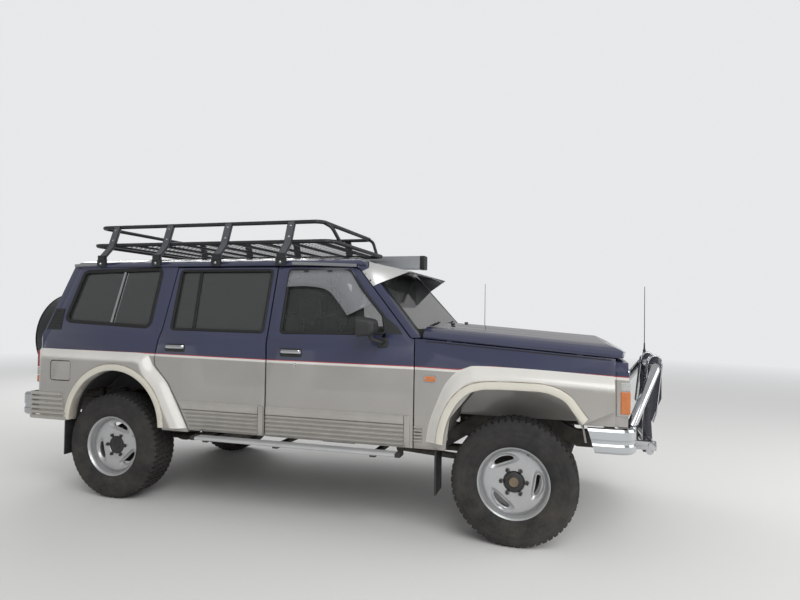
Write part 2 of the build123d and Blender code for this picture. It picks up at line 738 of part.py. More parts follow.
def bumper_band(end_x, back_x, half, corner, z):
    """Plan band that wraps round one end of the vehicle, between two heights."""
    way = 1 if end_x > 0 else -1
    outer = [(back_x, -half), (end_x - way * corner, -half), (end_x, corner - half), (end_x, half - corner),
             (end_x - way * corner, half), (back_x, half)]
    depth = bumper_depth
    inner_x = end_x - way * depth
    cut = corner * 0.6
    inner = [(back_x, -half + depth), (inner_x - way * cut, -half + depth), (inner_x, cut + depth - half),
             (inner_x, half - cut - depth), (inner_x - way * cut, half - depth), (back_x, half - depth)]
    return plan_plate(outline(outer), z) - plan_plate(outline(inner), z)


def bull_bar():
    plate_line = [
        (818, 495), (881, 495), (868, 708), (932, 865), (932, 1130), (905, 1155), (865, 1155), (840, 1110),
        (840, 900), (818, 708)]
    upright = side_plate(outline(plate_line), (upright_y - 28, upright_y + 28))
    foot_y = half_width - 150
    hoop = pipe([(684, -foot_y, bumper_high_z - 20), (880, -330, 1080), (880, 330, 1080),
                 (684, foot_y, bumper_high_z - 20)], 90, bar_radius)
    hoop -= box((500, 1000), (-half_width, half_width), (bumper_low_z, bumper_high_z))
    lower = rod((850, -300, 520), (850, 300, 520), 24)
    rail_end = bumper_front_x - bumper_depth
    arm = box((rail_end, 874), (rail_inner_y + 15, rail_outer_y - 15), (552, 606))
    cross = rod((848, -rail_outer_y, 579), (848, rail_outer_y, 579), 25)
    return upright + mirrored(upright) + hoop + lower + arm + mirrored(arm) + cross


def roof_rack():
    """Two rings of tube, cross slats, and four leaning legs a side that clamp in the drip rails."""
    rear, front = rear_x - 480, screen_high[0] - 300
    low = [(rear, -rack_low_y), (front, -rack_low_y), (front, rack_low_y), (rear, rack_low_y)]
    rack = ring_of_tube(low, rack_low_z)
    nose = front - rack_nose
    high = [(rear + 20, -rack_high_y), (nose, -rack_high_y), (nose, rack_high_y), (rear + 20, rack_high_y)]
    rack += ring_of_tube(high, rack_high_z)
    stay = rod((nose, rack_high_y - 70, rack_high_z), (front, rack_low_y - 190, rack_low_z), rack_tube - 2)
    rack += stay + mirrored(stay)
    for index in range(9):
        x = rear + 130 + index * (front - rear - 260) / 8
        rack += box((x - 20, x + 20), (-rack_low_y, rack_low_y), (rack_low_z - 8, rack_low_z + 8))
    foot = gutter_half + 3
    leg_face = outline([
        (foot, gutter_z + 14), (foot + 22, gutter_z + 14), (foot + 22, gutter_z + 50),
        (rack_low_y + 20, rack_low_z), (rack_high_y + 16, rack_high_z), (rack_high_y - 14, rack_high_z),
        (rack_low_y - 10, rack_low_z), (foot, gutter_z + 50)])
    for x in (rear_x - 282, rear_x + 232, rear_x + 758, rear_x + 1292):
        leg = cross_plate(leg_face, (x - rack_leg_width / 2, x + rack_leg_width / 2))
        rack += leg + mirrored(leg)
    return rack


def ring_of_tube(corners, z):
    """Closed ring of tube through four plan corners."""
    path = FilletPolyline(*[(x, y, z) for x, y in corners], radius=70, close=True)
    return sweep(Plane(origin=path @ 0, z_dir=path % 0) * Circle(rack_tube), path=path)


def awning():
    rear = rear_x - 500
    inner = gutter_half + 5
    low_z = rack_low_z - awning_drop
    case = box((rear, rear + awning_length), (inner, inner + awning_depth), (low_z, low_z + awning_height))
    bracket_y = (rack_low_y + rack_tube, inner)
    bracket = box((rear + 300, rear + 340), bracket_y, (rack_low_z - 7, rack_low_z + 7))
    return case, bracket + Pos(awning_length - 1100, 0, 0) * bracket


def sun_visor():
    """Smoked peak over the windscreen, its cheeks folded onto flanges on the front pillars."""
    (rear, rear_z), (tip_x, tip_z) = visor_rear, visor_tip
    fall = (rear_z - tip_z) / (tip_x - rear)
    thick = visor_sheet
    wing = visor_half + 45
    top_line = [visor_rear, visor_tip]
    sheet = side_plate(outline(top_line + shifted(top_line, 0, -thick)[::-1]), (-wing, wing))
    sheet &= plan_plate(outline([(rear, -wing), (rear, wing), (tip_x, visor_half), (tip_x, -visor_half)]),
                        (1500, 2000))
    low_z, high_z = visor_flange_z
    flange_line = [(pillar_x(low_z, 0) + 2, low_z), (pillar_x(high_z, 0) + 2, high_z),
                   (pillar_x(high_z + 22, 1) + 3, high_z + 22), (pillar_x(low_z + 22, 1) + 3, low_z + 22)]
    seat = (-seat_gap, -seat_gap)
    flange = wall((-visor_plate, -visor_plate), seat, all_x) & side_plate(outline(flange_line), all_y)
    fold_low = (flange_line[3][0], skin_y(low_z + 22) + visor_plate, low_z + 22)
    fold_high = (flange_line[2][0], skin_y(high_z + 22) + visor_plate, high_z + 22)
    shoulder_x = screen_high[0] + 8
    shoulder = (shoulder_x, wing - 3, rear_z - (shoulder_x - rear) * fall)
    tip = (tip_x, visor_half, tip_z)
    cheek = flange
    for corners in ((fold_low, fold_high, tip), (fold_high, shoulder, tip)):
        face = make_face(Polyline(*corners, close=True)).face()
        inward = -1 if face.normal_at().Y > 0 else 1
        cheek += extrude(face, amount=inward * thick)
    return sheet + cheek + mirrored(cheek)


def pillar_x(z, edge):
    """Place along the vehicle of the front pillar's rear edge, 0, or screen edge, 1, at a height."""
    rear_edge = (shifted(front_door_line[2:3], 10)[0], shifted(front_door_line[3:4], 10)[0])
    front_edge = ((screen_low[0] - 8, screen_low[1]), (screen_high[0] + 13, gutter_z))
    (low_x, low_z), (high_x, high_z) = (rear_edge, front_edge)[edge]
    return low_x + (z - low_z) * (high_x - low_x) / (high_z - low_z)


def seats():
    made = []
    for y in (400, -400):
        made += [
            box((-1720, -1230), (y - 225, y + 225), (floor_z + floor_thickness, 905)),
            box((-1850, -1720 - seat_gap), (y - 220, y + 220), (760, 1385)) + box(
                (-1815, -1745), (y - 130, y + 130), (1380, 1575)),
        ]
    made += [box((-2440, -2010), (-585, 585), (floor_z + floor_thickness, 930)),
             box((-2570, -2440 - seat_gap), (-585, 585), (rear_floor_z + floor_thickness, 1360))]
    return made


def dashboard():
    face = outline([
        (door_front_x + 15, 860), (door_front_x + 15, 1195), (door_front_x - 45, 1262), (-900, 1250),
        (-960, 1190), (-900, 980), (-760, 860)])
    half = skin_y(ring_step_z + belt_ledge, ring_inner[0]) - 5
    dash = side_plate(face, (-half, half))
    return dash + rod(column_point(25 + seat_gap), column_point(220), 30)


def column_point(distance):
    """Point on the steering column's axis, forward of the steering wheel's centre."""
    tilt = radians(column_tilt)
    x, y, z = wheel_centre
    return (x + distance * cos(tilt), y, z - distance * sin(tilt))


def steering_wheel():
    ring = Torus(185, 15)
    hub = Cylinder(45, 50)
    spokes = box((-180, 180), (-22, 22), (-8, 8)) + box((-180, 0), (-22, 22), (-8, 8))
    lower = box((-22, 22), (-180, 0), (-8, 8))
    along = Vector(*column_point(1)) - Vector(*wheel_centre)
    frame = Plane(origin=wheel_centre, x_dir=(0, 1, 0), z_dir=along)
    return frame * (ring + hub + spokes + lower)


def spare_wheel():
    """Covered spare wheel on its carrier, with rounded edges."""
    face_x = tail_x - spare_carrier
    drum = rod((face_x - spare_width, spare_y, spare_z), (face_x, spare_y, spare_z), spare_radius)
    drum = fillet(drum.faces().sort_by(Axis.X)[0].edges(), 55)
    carrier = rod((face_x, spare_y, spare_z), (tail_x, spare_y, spare_z), 90)
    return drum + carrier


def front_panel():
    """Radiator support, header under the bonnet, lamp surrounds and the slats of the grille."""
    rear = guard_front_x
    half = half_width - 10
    post = 20
    header = box((rear, panel_front_x), (-half, half), (lamp_high_z, lamp_high_z + 54))
    sill = box((rear, panel_front_x), (-half, half), (bumper_high_z + 8, lamp_low_z))
    panel = header + sill
    for y in (grille_half, lamp_split_y - post, half - post):
        upright = box((rear, panel_front_x - 12), (y, y + post), (lamp_low_z, lamp_high_z))
        panel += upright + mirrored(upright)
    slat_pitch = (lamp_high_z - lamp_low_z - 36) / 6
    for step in range(7):
        z = lamp_low_z + 15 + step * slat_pitch
        panel += box((panel_front_x - 45, panel_front_x - 8), (-grille_half, grille_half), (z, z + 12))
    support = box((rear, rear + 15), (-grille_half, grille_half), (lamp_low_z, lamp_high_z))
    opening = grille_half - 45
    support -= box((rear - 1, rear + 20), (-opening, opening), (lamp_low_z + 10, lamp_high_z - 10))
    brace = box((rear, rear + 30), (rail_inner_y, rail_outer_y), (655, bumper_high_z + 8))
    return panel + support + brace + mirrored(brace)


def lamps():
    """Head lamps and corner lamps in the front panel, tail lamps let into the tail."""
    rear = guard_front_x
    head = box((rear, panel_front_x + 2), (grille_half + 20, lamp_split_y - 20), (lamp_low_z, lamp_high_z))
    corner = box((rear, panel_front_x + 4), (lamp_split_y, half_width - 30), (lamp_low_z, lamp_high_z))
    tail_space = box((tail_x - 20, tail_x + 6 - seat_gap), (back_half + 52, half_width + 20), (850, 1090))
    tail = (rounded_tail(9) - rounded_tail(seat_gap)) & tail_space
    return [head, corner, tail, mirrored(head), mirrored(corner), mirrored(tail)]


def driveline():
    """Gearbox, transfer case, propeller shafts, exhaust and tank under the floor."""
    gearbox = box((-1250, -430 - seat_gap), (-140, 140), (500, floor_z + 105))
    transfer = box((-1520, -1250 - seat_gap), (-300, 120), (408, floor_z - 10))
    front_shaft = rod((-1250, -230, 440), (-238, -153, axle_z + 20), 28)
    rear_shaft = rod((-1520, 0, 500), (rear_x + 236, 0, axle_z + 20), 32)
    tank = box((rear_x - 400, rear_x - 160), (-rail_inner_y, 180), (470, 700))
    silencer = rod((-2250, 245, 505), (-1700, 245, 505), 85)
    tail_pipe = pipe([(-1260, 245, 505), (rear_x + 450, 245, 505), (rear_x + 210, 285, 560),
                      (rear_x - 230, 285, 560), (rear_x - 430, 285, 500), (rear_x - 620, 285, 500)], 60, 26)
    hanger = box((hanger_x - 6, hanger_x + 6), (235, 255), (520, hanger_z - hanger_height / 2 - seat_gap))
    return [gearbox, transfer, front_shaft, rear_shaft, tank, silencer + tail_pipe + hanger]


def engine_block():
    return box((-430, 380), (-engine_half, engine_half), (650, 1110))


def fixed_glass():
    """Windscreen between the pillars, and the rear quarter windows."""
    low_z, run = screen_low[1] - 6, (screen_high[0] - screen_low[0]) / (screen_high[1] - screen_low[1])
    low_x, high_x = screen_low[0] - 6 * run, screen_low[0] + (gutter_z - screen_low[1]) * run
    face = outline([(low_x, low_z), (high_x, gutter_z), (high_x - 7, gutter_z), (low_x - 7, low_z)])
    low, high = skin_y(low_z, ring_inner[1]), skin_y(gutter_z, ring_inner[1])
    width = cross_plate(outline([(-low, low_z), (low, low_z), (high, gutter_z), (-high, gutter_z)]), all_x)
    inset = (glass_inset, glass_inset)
    depth = glass_inset + glass_thickness
    quarter = wall(inset, (depth, depth), all_x) & side_plate(outline(quarter_window_line, 45), all_y)
    return [side_plate(face, (-half_width, half_width)) & width, quarter, mirrored(quarter)]


def flares():
    """Front and rear arch flares; the rear ones run on to the tail, the right one round the fuel flap."""
    # Columns x and height of the edge on the skin, x and height of the crease
    front_edges = [
        (-565, 560, -460, 560), (-533, 717, -425, 700), (-489, 846, -378, 815), (-439, 963, -322, 922),
        (-375, 1042, -262, 984), (-300, 1083, -190, 1008), (-212, 1098, -120, 1014), (640, 1064, 640, 988),
        (640, 560, 640, 560),
    ]
    rear_edges = [
        (tail_x - 60, 1104, tail_x - 60, 1050), (rear_x + 270, 1095, rear_x + 232, 1030),
        (rear_x + 333, 1055, rear_x + 280, 1000), (rear_x + 350, 1000, rear_x + 315, 968),
        (rear_x + 462, 888, rear_x + 405, 860), (rear_x + 548, 742, rear_x + 470, 730),
        (rear_x + 648, 540, rear_x + 552, 540), (tail_x - 60, 540, tail_x - 60, 540),
    ]
    front = flare(front_arch, front_edges)
    front -= box((guard_front_x - 6, 700), all_y, (500, 1150))
    front -= box((0, 700), all_y, (500, bumper_high_z + 15)) + box((-700, 0), all_y, (500, 600))
    rear = flare(rear_arch, rear_edges)
    rear += lower_moulding((tail_x + 18, rear_x - 420), half_width + flare_proud)
    rear -= box((rear_x, rear_x + 700), all_y, (500, 563)) + box((tail_x - 200, rear_x), all_y, (500, 567))
    rear &= rounded_tail(flare_proud + rib_proud + 5, tail_x + 6)
    pocket_x = (fuel_flap_x[0] - 6, fuel_flap_x[1] + 6)
    pocket_z = (fuel_flap_z[0] - 6, fuel_flap_z[1] + 6)
    pocket = box(pocket_x, (-half_width - 80, -half_width), pocket_z)
    return [front, rear, mirrored(front), mirrored(rear) - pocket]


def side_steps():
    plank_z = (step_top_z - 23, step_top_z)
    step = box((rear_x + 730, door_front_x - 50), (half_width + 5, step_outer_y), plank_z)
    for x in (-900, -1600, -2150):
        step += box((x - 20, x + 20), (rail_outer_y, half_width + 35), (plank_z[0] - 25, plank_z[0]))
    return [step, mirrored(step)]


def mudflaps():
    outer = half_width + 35
    front = box((-488, -476), (half_width - 145, outer), (277, door_bottom_z - seat_gap))
    rear = box((rear_x - 418, rear_x - 406), (half_width - 205, outer), (300, 567 - seat_gap))
    return [front, rear, mirrored(front), mirrored(rear)]


def wipers_and_aerials():
    """Two parked wipers, the guard aerial and the whip on the bull bar."""
    made = []
    pivot_x = bonnet_rear_x - wiper_back
    for pivot_y in (-450, 130):
        arm = rod((pivot_x, pivot_y, 1316 + seat_gap), (pivot_x, pivot_y, 1336), 11)
        arm += rod((pivot_x, pivot_y, 1332), (-662, pivot_y + 480, 1352), 6)
        made.append(arm)
    aerial_y = half_width - 19
    aerial = rod((-421, aerial_y, shut_z(-421) + 1), (-421, aerial_y, 1270), 12)
    aerial += rod((-421, aerial_y, 1265), (-421, aerial_y, 1701), 3)
    whip = rod((880, 260, 1110), (880, 260, 1180), 11) + rod((880, 260, 1170), (880, 260, 1650), 3.5)
    return made + [aerial, whip]


def fuel_flap():
    """Flap in the right rear flare, with the pin on its front edge."""
    face_y = -half_width - flare_proud
    low, high = fuel_flap_z
    flap = box(fuel_flap_x, (face_y, face_y + 10), fuel_flap_z)
    pin = Pos(fuel_flap_x[1] - 4, face_y + 5, (low + high) / 2) * Cylinder(4, high - low + 12 - 2 * seat_gap)
    return flap + pin


def fuel_cap():
    """Filler cap behind the flap, on the right rear quarter."""
    x = sum(fuel_flap_x) / 2
    z = sum(fuel_flap_z) / 2
    return rod((x, 1 - half_width, z), (x, -half_width - 26, z), 34)


def write(node, *shapes):
    solids = [solid for shape in shapes for solid in shape.solids()]
    export_step(Pos(-mid_x, 0, 0) * Compound(solids), f"parts/{node}.step")


os.makedirs("parts", exist_ok=True)
left_side = body_side()
write("body_left_side", left_side)
write("body_right_side", mirrored(left_side) + fuel_cap())
write("tail_frame", tail_frame())
write("roof_panel", roof_panel())
write("floor_pan", *floor_pan())
write("bonnet", bonnet())
write("front_guards", *[place for piece in guard() for place in (piece, mirrored(piece))])
write("arch_flares", *flares())
write("front_panel", front_panel())
write("lamps", *lamps())
write("fixed_glass", *fixed_glass())
write("chassis_frame", *chassis_frame())
write("front_axle", axle(0, -150, kingpin_y - 34 - seat_gap, -1))
write("rear_axle", rear_axle())
write("suspension", *suspension())
write("driveline", *driveline())
write("engine_block", engine_block())
front_bumper = bumper_band(bumper_front_x, 427, half_width + 30, 120, (bumper_low_z, bumper_high_z))
wing_cut = outline([(400, 600), (472, bumper_low_z - 1), (426, bumper_high_z), (400, bumper_high_z)])
write("front_bumper", front_bumper - side_plate(wing_cut, (-1000, 1000)))
write("bull_bar", bull_bar())
write("rear_bumper", bumper_band(rear_bumper_x, tail_x - 7, half_width + 30, 90,
                                 (rear_bumper_low_z, rear_bumper_high_z)))
write("side_steps", *side_steps())
write("mudflaps", *mudflaps())
write("roof_rack", roof_rack())
write("awning", *awning())
write("sun_visor", sun_visor())
write("wipers_and_aerials", *wipers_and_aerials())
write("seats", *seats())
write("dashboard", dashboard())
write("steering_wheel", steering_wheel())
front_door = door(front_door_line, front_window_line, (door_split_x + 40, door_front_x - 60), 0)
front_door += handle((door_split_x + 119, door_split_x + 259), 1140) + mirror_head()
rear_door = door(rear_door_line, rear_window_line, (rear_x + 598, door_split_x - 50), 85)
rear_door += handle((rear_x + 454, rear_x + 607), 1145)
front_pane, rear_pane = pane(front_window_line), pane(rear_window_line)
left_tyre, left_rim, left_knuckle = tyre(), rim(), knuckle()
for side, place in (("left", lambda shape: shape), ("right", mirrored)):
    write(f"front_{side}_door", place(front_door))
    write(f"rear_{side}_door", place(rear_door))
    write(f"front_{side}_glass", place(front_pane))
    write(f"rear_{side}_glass", place(rear_pane))
    write(f"{side}_knuckle", place(left_knuckle))
    for end, x in (("front", 0), ("rear", rear_x)):
        write(f"{end}_{side}_tyre", place(Pos(x, wheel_y, axle_z) * left_tyre))
        write(f"{end}_{side}_rim", place(Pos(x, wheel_y, axle_z) * left_rim))
    sign = 1 if side == "left" else -1
    write(f"back_{side}_door", back_door(sign))
    write(f"back_{side}_glass", back_glass(sign))
write("spare_wheel", spare_wheel())
write("fuel_flap", fuel_flap())
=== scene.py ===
import json
import math
import bmesh
import bpy
from mathutils import Matrix, Vector
from mathutils.bvhtree import BVHTree

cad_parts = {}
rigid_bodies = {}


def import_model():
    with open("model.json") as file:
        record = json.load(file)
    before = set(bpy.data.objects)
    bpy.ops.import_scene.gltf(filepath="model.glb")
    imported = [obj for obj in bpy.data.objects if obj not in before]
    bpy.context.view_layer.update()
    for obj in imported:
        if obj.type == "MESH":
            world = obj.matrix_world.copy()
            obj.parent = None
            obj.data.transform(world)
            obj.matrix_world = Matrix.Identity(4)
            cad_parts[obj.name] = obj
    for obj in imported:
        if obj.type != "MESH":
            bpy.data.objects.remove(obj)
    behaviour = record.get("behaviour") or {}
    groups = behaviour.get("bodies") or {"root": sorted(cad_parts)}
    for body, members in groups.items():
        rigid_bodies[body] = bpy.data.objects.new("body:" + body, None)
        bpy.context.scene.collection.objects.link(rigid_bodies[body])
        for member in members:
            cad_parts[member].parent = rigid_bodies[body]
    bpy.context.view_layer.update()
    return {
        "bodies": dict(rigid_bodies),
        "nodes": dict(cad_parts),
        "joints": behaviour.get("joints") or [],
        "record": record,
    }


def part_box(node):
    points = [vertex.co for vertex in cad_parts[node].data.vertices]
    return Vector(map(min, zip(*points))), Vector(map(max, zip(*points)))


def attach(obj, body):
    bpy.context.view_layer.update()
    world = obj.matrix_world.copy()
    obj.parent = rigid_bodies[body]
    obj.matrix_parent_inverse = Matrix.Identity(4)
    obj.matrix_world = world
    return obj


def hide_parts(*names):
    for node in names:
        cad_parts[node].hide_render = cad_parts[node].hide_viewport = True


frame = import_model()
nodes = frame["nodes"]
axleX = 1.544  # front axle, from the middle of the vehicle
axleZ = 0.3885
wheelbase = 2.970
rearX = axleX - wheelbase
halfWidth = 0.895
bendZ = 1.200
leanPerMetre = 0.30
bothSides = (("Left", 1), ("Right", -1))
print("frame loaded")


def fromAxle(x, y, z):  # millimetres from the front axle, as measured, to metres
    return Vector((x / 1000 + axleX, y / 1000, z / 1000))


def skinY(z):  # half width of the body at a height
    return halfWidth - max(0, z - bendZ) * leanPerMetre


# camera
view = {"place": (1.840719, -4.514656, 1.426309), "yaw": 0.278261, "pitch": 0.021140, "roll": 0.015005,
        "lens": 26.058}


def placeCamera(settings):
    yaw, pitch, roll = settings["yaw"], settings["pitch"], settings["roll"]
    ahead = Vector((-math.sin(yaw) * math.cos(pitch), math.cos(yaw) * math.cos(pitch), math.sin(pitch)))
    level = Vector((math.cos(yaw), math.sin(yaw), 0))
    over = level.cross(ahead)
    right = level * math.cos(roll) + over * math.sin(roll)
    up = over * math.cos(roll) - level * math.sin(roll)
    camera = bpy.data.objects.new("camera", bpy.data.cameras.new("camera"))
    camera.data.lens = settings["lens"]
    camera.data.sensor_width = 36
    camera.data.clip_end = 200
    turned = Matrix((right, up, -ahead)).transposed().to_4x4()
    camera.matrix_world = Matrix.Translation(settings["place"]) @ turned
    bpy.context.scene.collection.objects.link(camera)
    bpy.context.scene.camera = camera


placeCamera(view)

# light and floor
studio = {"sky": 0.62, "horizon": 0.42, "skyHeights": (-0.1, 0.9), "backdrop": (0.80, 0.81, 0.82),
          "floor": (0.80, 0.80, 0.79), "floorHalf": 60, "fade": (5.0, 17.0),
          "boxes": {"keyLight": ((4.5, -6.5, 6.5), 420, 6.0),  # place, power, size
                    "fillLight": ((-5.5, 5.5, 5.5), 260, 6.0),
                    "frontLight": ((8.0, 1.0, 3.2), 150, 4.0)}}


def softBox(name, place, power, size):
    lamp = bpy.data.lights.new(name, "AREA")
    lamp.energy = power
    lamp.size = size
    box = bpy.data.objects.new(name, lamp)
    box.location = place
    box.rotation_euler = (Vector((0, 0, 0.8)) - Vector(place)).to_track_quat("-Z", "Y").to_euler()
    bpy.context.scene.collection.objects.link(box)


def buildStudio(s):
    scene = bpy.context.scene
    scene.view_settings.view_transform = "Standard"
    scene.world = bpy.data.worlds.new("studio")
    scene.world.use_nodes = True
    scene.world.node_tree.nodes.clear()
    w = Wires(scene.world.node_tree)
    height = w.split(w.add("ShaderNodeTexCoord").outputs["Generated"])["Z"]
    lit = w.add("ShaderNodeBackground", {"Strength": w.range(height, *s["skyHeights"], s["horizon"], s["sky"])})
    seen = w.add("ShaderNodeBackground", {"Color": s["backdrop"]})
    direct = w.add("ShaderNodeLightPath").outputs["Is Camera Ray"]
    mix = w.add("ShaderNodeMixShader", {0: direct, 1: lit.outputs[0], 2: seen.outputs[0]})
    w.add("ShaderNodeOutputWorld", {0: mix.outputs[0]})
    for name, (place, power, size) in s["boxes"].items():
        softBox(name, place, power, size)
    buildFloor(s)


def buildFloor(s):
    mesh = bpy.data.meshes.new("floor")
    far = s["floorHalf"]
    mesh.from_pydata([(-far, -far, 0), (far, -far, 0), (far, far, 0), (-far, far, 0)], [], [(0, 1, 2, 3)])
    floor = bpy.data.objects.new("floor", mesh)
    bpy.context.scene.collection.objects.link(floor)
    mat = bpy.data.materials.new("floorPaint")
    mat.use_nodes = True
    w = Wires(mat.node_tree)
    shader = mat.node_tree.nodes["Principled BSDF"]
    w.fill(shader, {"Base Color": s["floor"], "Roughness": 0.8})
    place = w.add("ShaderNodeTexCoord").outputs["Object"]
    away = w.add("ShaderNodeVectorMath", {0: place}, operation="LENGTH").outputs["Value"]
    glow = w.add("ShaderNodeEmission", {"Color": s["backdrop"]}).outputs[0]
    blend = w.add("ShaderNodeMixShader", {0: w.range(away, *s["fade"]), 1: shader.outputs[0], 2: glow})
    w.fill(mat.node_tree.nodes["Material Output"], {"Surface": blend.outputs[0]})
    mesh.materials.append(mat)


# shader groups that several finishes share
def newGroup(name, takes, gives):
    group = bpy.data.node_groups.new(name, "ShaderNodeTree")
    for label, kind, value in takes:
        socket = group.interface.new_socket(label, in_out="INPUT", socket_type=kind)
        if value is not None:
            socket.default_value = value
    for label, kind in gives:
        group.interface.new_socket(label, in_out="OUTPUT", socket_type=kind)
    return group, group.nodes.new("NodeGroupInput"), group.nodes.new("NodeGroupOutput")


class Wires:  # short calls to add and join nodes in one tree
    def __init__(self, tree):
        self.tree = tree

    def add(self, kind, sockets=None, **settings):
        node = self.tree.nodes.new(kind)
        for key, value in settings.items():
            setattr(node, key, value)
        self.fill(node, sockets or {})
        return node

    def fill(self, node, sockets):
        for key, value in sockets.items():
            self.set(node.inputs[key], value)

    def set(self, socket, value):
        if isinstance(value, bpy.types.NodeSocket):
            self.tree.links.new(value, socket)
        elif isinstance(value, tuple) and len(value) == 3 and len(getattr(socket, "default_value", ())) == 4:
            socket.default_value = (*value, 1)
        else:
            socket.default_value = value

    def maths(self, operation, a, b=0.0, c=0.0, clamp=False):
        node = self.add("ShaderNodeMath", {0: a, 1: b, 2: c}, operation=operation, use_clamp=clamp)
        return node.outputs[0]

    def times(self, a, b, clamp=False):
        return self.maths("MULTIPLY", a, b, clamp=clamp)

    def plus(self, a, b, clamp=False):
        return self.maths("ADD", a, b, clamp=clamp)

    def minus(self, a, b, clamp=False):
        return self.maths("SUBTRACT", a, b, clamp=clamp)

    def scaled(self, color, share):
        return self.add("ShaderNodeVectorMath", {0: color, "Scale": share}, operation="SCALE").outputs[0]

    def bump(self, strength, distance, height):
        sockets = {"Strength": strength, "Distance": distance, "Height": height}
        return self.add("ShaderNodeBump", sockets).outputs[0]

    def noise(self, place, scale, detail=4.0, rough=0.55):
        sockets = {"Vector": place, "Scale": scale, "Detail": detail, "Roughness": rough}
        return self.add("ShaderNodeTexNoise", sockets).outputs[0]

    def mixed(self, share, a, b):
        node = self.add("ShaderNodeMix", {0: share, 6: a, 7: b}, data_type="RGBA")
        return node.outputs[2]

    def range(self, value, low, high, toLow=0.0, toHigh=1.0):
        sockets = {"Value": value, "From Min": low, "From Max": high, "To Min": toLow, "To Max": toHigh}
        return self.add("ShaderNodeMapRange", sockets).outputs[0]

    def split(self, place):
        return self.add("ShaderNodeSeparateXYZ", {0: place}).outputs


def buildRoadDust():
    takes = [("Place", "NodeSocketVector", None), ("Low", "NodeSocketFloat", 0.2), ("High", "NodeSocketFloat", 0.9),
             ("Amount", "NodeSocketFloat", 0.5), ("Scale", "NodeSocketFloat", 6.0)]
    group, given, out = newGroup("roadDust", takes, [("Mask", "NodeSocketFloat")])
    w = Wires(group)
    height = w.split(given.outputs["Place"])[2]
    fade = w.range(height, given.outputs["Low"], given.outputs["High"], 1.0, 0.0)
    broad = w.noise(given.outputs["Place"], given.outputs["Scale"], 6.0, 0.65)
    fine = w.noise(given.outputs["Place"], 140.0, 3.0, 0.6)
    patches = w.range(w.plus(w.times(broad, 0.7), w.times(fine, 0.3)), 0.38, 0.66)
    mask = w.times(w.times(fade, patches), given.outputs["Amount"], clamp=True)
    w.set(out.inputs["Mask"], mask)
    return group


def buildGrain():
    takes = [("Place", "NodeSocketVector", None), ("Scale", "NodeSocketFloat", 600.0),
             ("Depth", "NodeSocketFloat", 1.0)]
    group, given, out = newGroup("fineGrain", takes, [("Height", "NodeSocketFloat")])
    w = Wires(group)
    cells = w.add("ShaderNodeTexVoronoi", {"Vector": given.outputs["Place"], "Scale": given.outputs["Scale"]})
    soft = w.noise(given.outputs["Place"], given.outputs["Scale"], 3.0)
    both = w.plus(w.times(cells.outputs[0], 0.6), w.times(soft, 0.5))
    w.set(out.inputs["Height"], w.times(both, given.outputs["Depth"]))
    return group


def buildScuffs():
    takes = [("Place", "NodeSocketVector", None), ("Scale", "NodeSocketFloat", 9.0),
             ("Amount", "NodeSocketFloat", 0.3)]
    group, given, out = newGroup("scuffs", takes, [("Mask", "NodeSocketFloat")])
    w = Wires(group)
    stretched = w.add("ShaderNodeMapping", {"Vector": given.outputs["Place"], "Scale": (1.0, 1.0, 9.0)}).outputs[0]
    lines = w.noise(stretched, w.times(given.outputs["Scale"], 6.0), 8.0, 0.7)
    clouds = w.noise(given.outputs["Place"], given.outputs["Scale"], 4.0)
    mask = w.times(w.range(lines, 0.52, 0.72), w.range(clouds, 0.42, 0.62))
    w.set(out.inputs["Mask"], w.times(mask, given.outputs["Amount"], clamp=True))
    return group


stripe = {"points": ((-3711, 1103), (-2564, 1097), (-1692, 1086), (-632, 1081), (-345, 1073), (-215, 1097),
                     (-150, 1101), (580, 1071), (720, 1066)),
          "red": 0.0055, "pale": 0.016}


def buildTwoTone(settings):
    takes = [("Place", "NodeSocketVector", None), ("Upper", "NodeSocketColor", None),
             ("Lower", "NodeSocketColor", None),
             ("Red", "NodeSocketColor", None), ("Pale", "NodeSocketColor", None)]
    group, given, out = newGroup("twoTone", takes, [("Color", "NodeSocketColor"), ("Upper", "NodeSocketFloat")])
    w = Wires(group)
    x, _, z = w.split(given.outputs["Place"])[:3]
    along = w.range(x, -2.2, 2.3)
    curve = w.add("ShaderNodeFloatCurve", {"Value": along})
    points = curve.mapping.curves[0].points
    table = [((px / 1000 + axleX + 2.2) / 4.5, (pz / 1000 - 1.0) / 0.2) for px, pz in settings["points"]]
    points[0].location, points[1].location = table[0], table[-1]
    for place in table[1:-1]:
        points.new(*place)
    for point in points:
        point.handle_type = "VECTOR"
    curve.mapping.update()
    line = w.maths("MULTIPLY_ADD", curve.outputs[0], 0.2, 1.0)
    over = w.minus(z, line)
    isUpper = w.maths("GREATER_THAN", over, 0.0)
    isRed = w.maths("GREATER_THAN", over, -settings["red"])
    isPale = w.maths("GREATER_THAN", over, -settings["red"] - settings["pale"])
    color = w.mixed(isPale, given.outputs["Lower"], given.outputs["Pale"])
    color = w.mixed(isRed, color, given.outputs["Red"])
    color = w.mixed(isUpper, color, given.outputs["Upper"])
    w.set(out.inputs["Color"], color)
    w.set(out.inputs["Upper"], isUpper)
    return group


buildStudio(studio)
print("camera, light and floor ready")

groups = {"dust": buildRoadDust(), "grain": buildGrain(), "scuffs": buildScuffs(), "twoTone": buildTwoTone(stripe)}


def useGroup(w, name, **sockets):
    node = w.tree.nodes.new("ShaderNodeGroup")
    node.node_tree = groups[name]
    for key, value in sockets.items():
        w.set(node.inputs[key], value)
    return node.outputs


# finishes
dustTone = (0.30, 0.26, 0.20)
finishes = {}


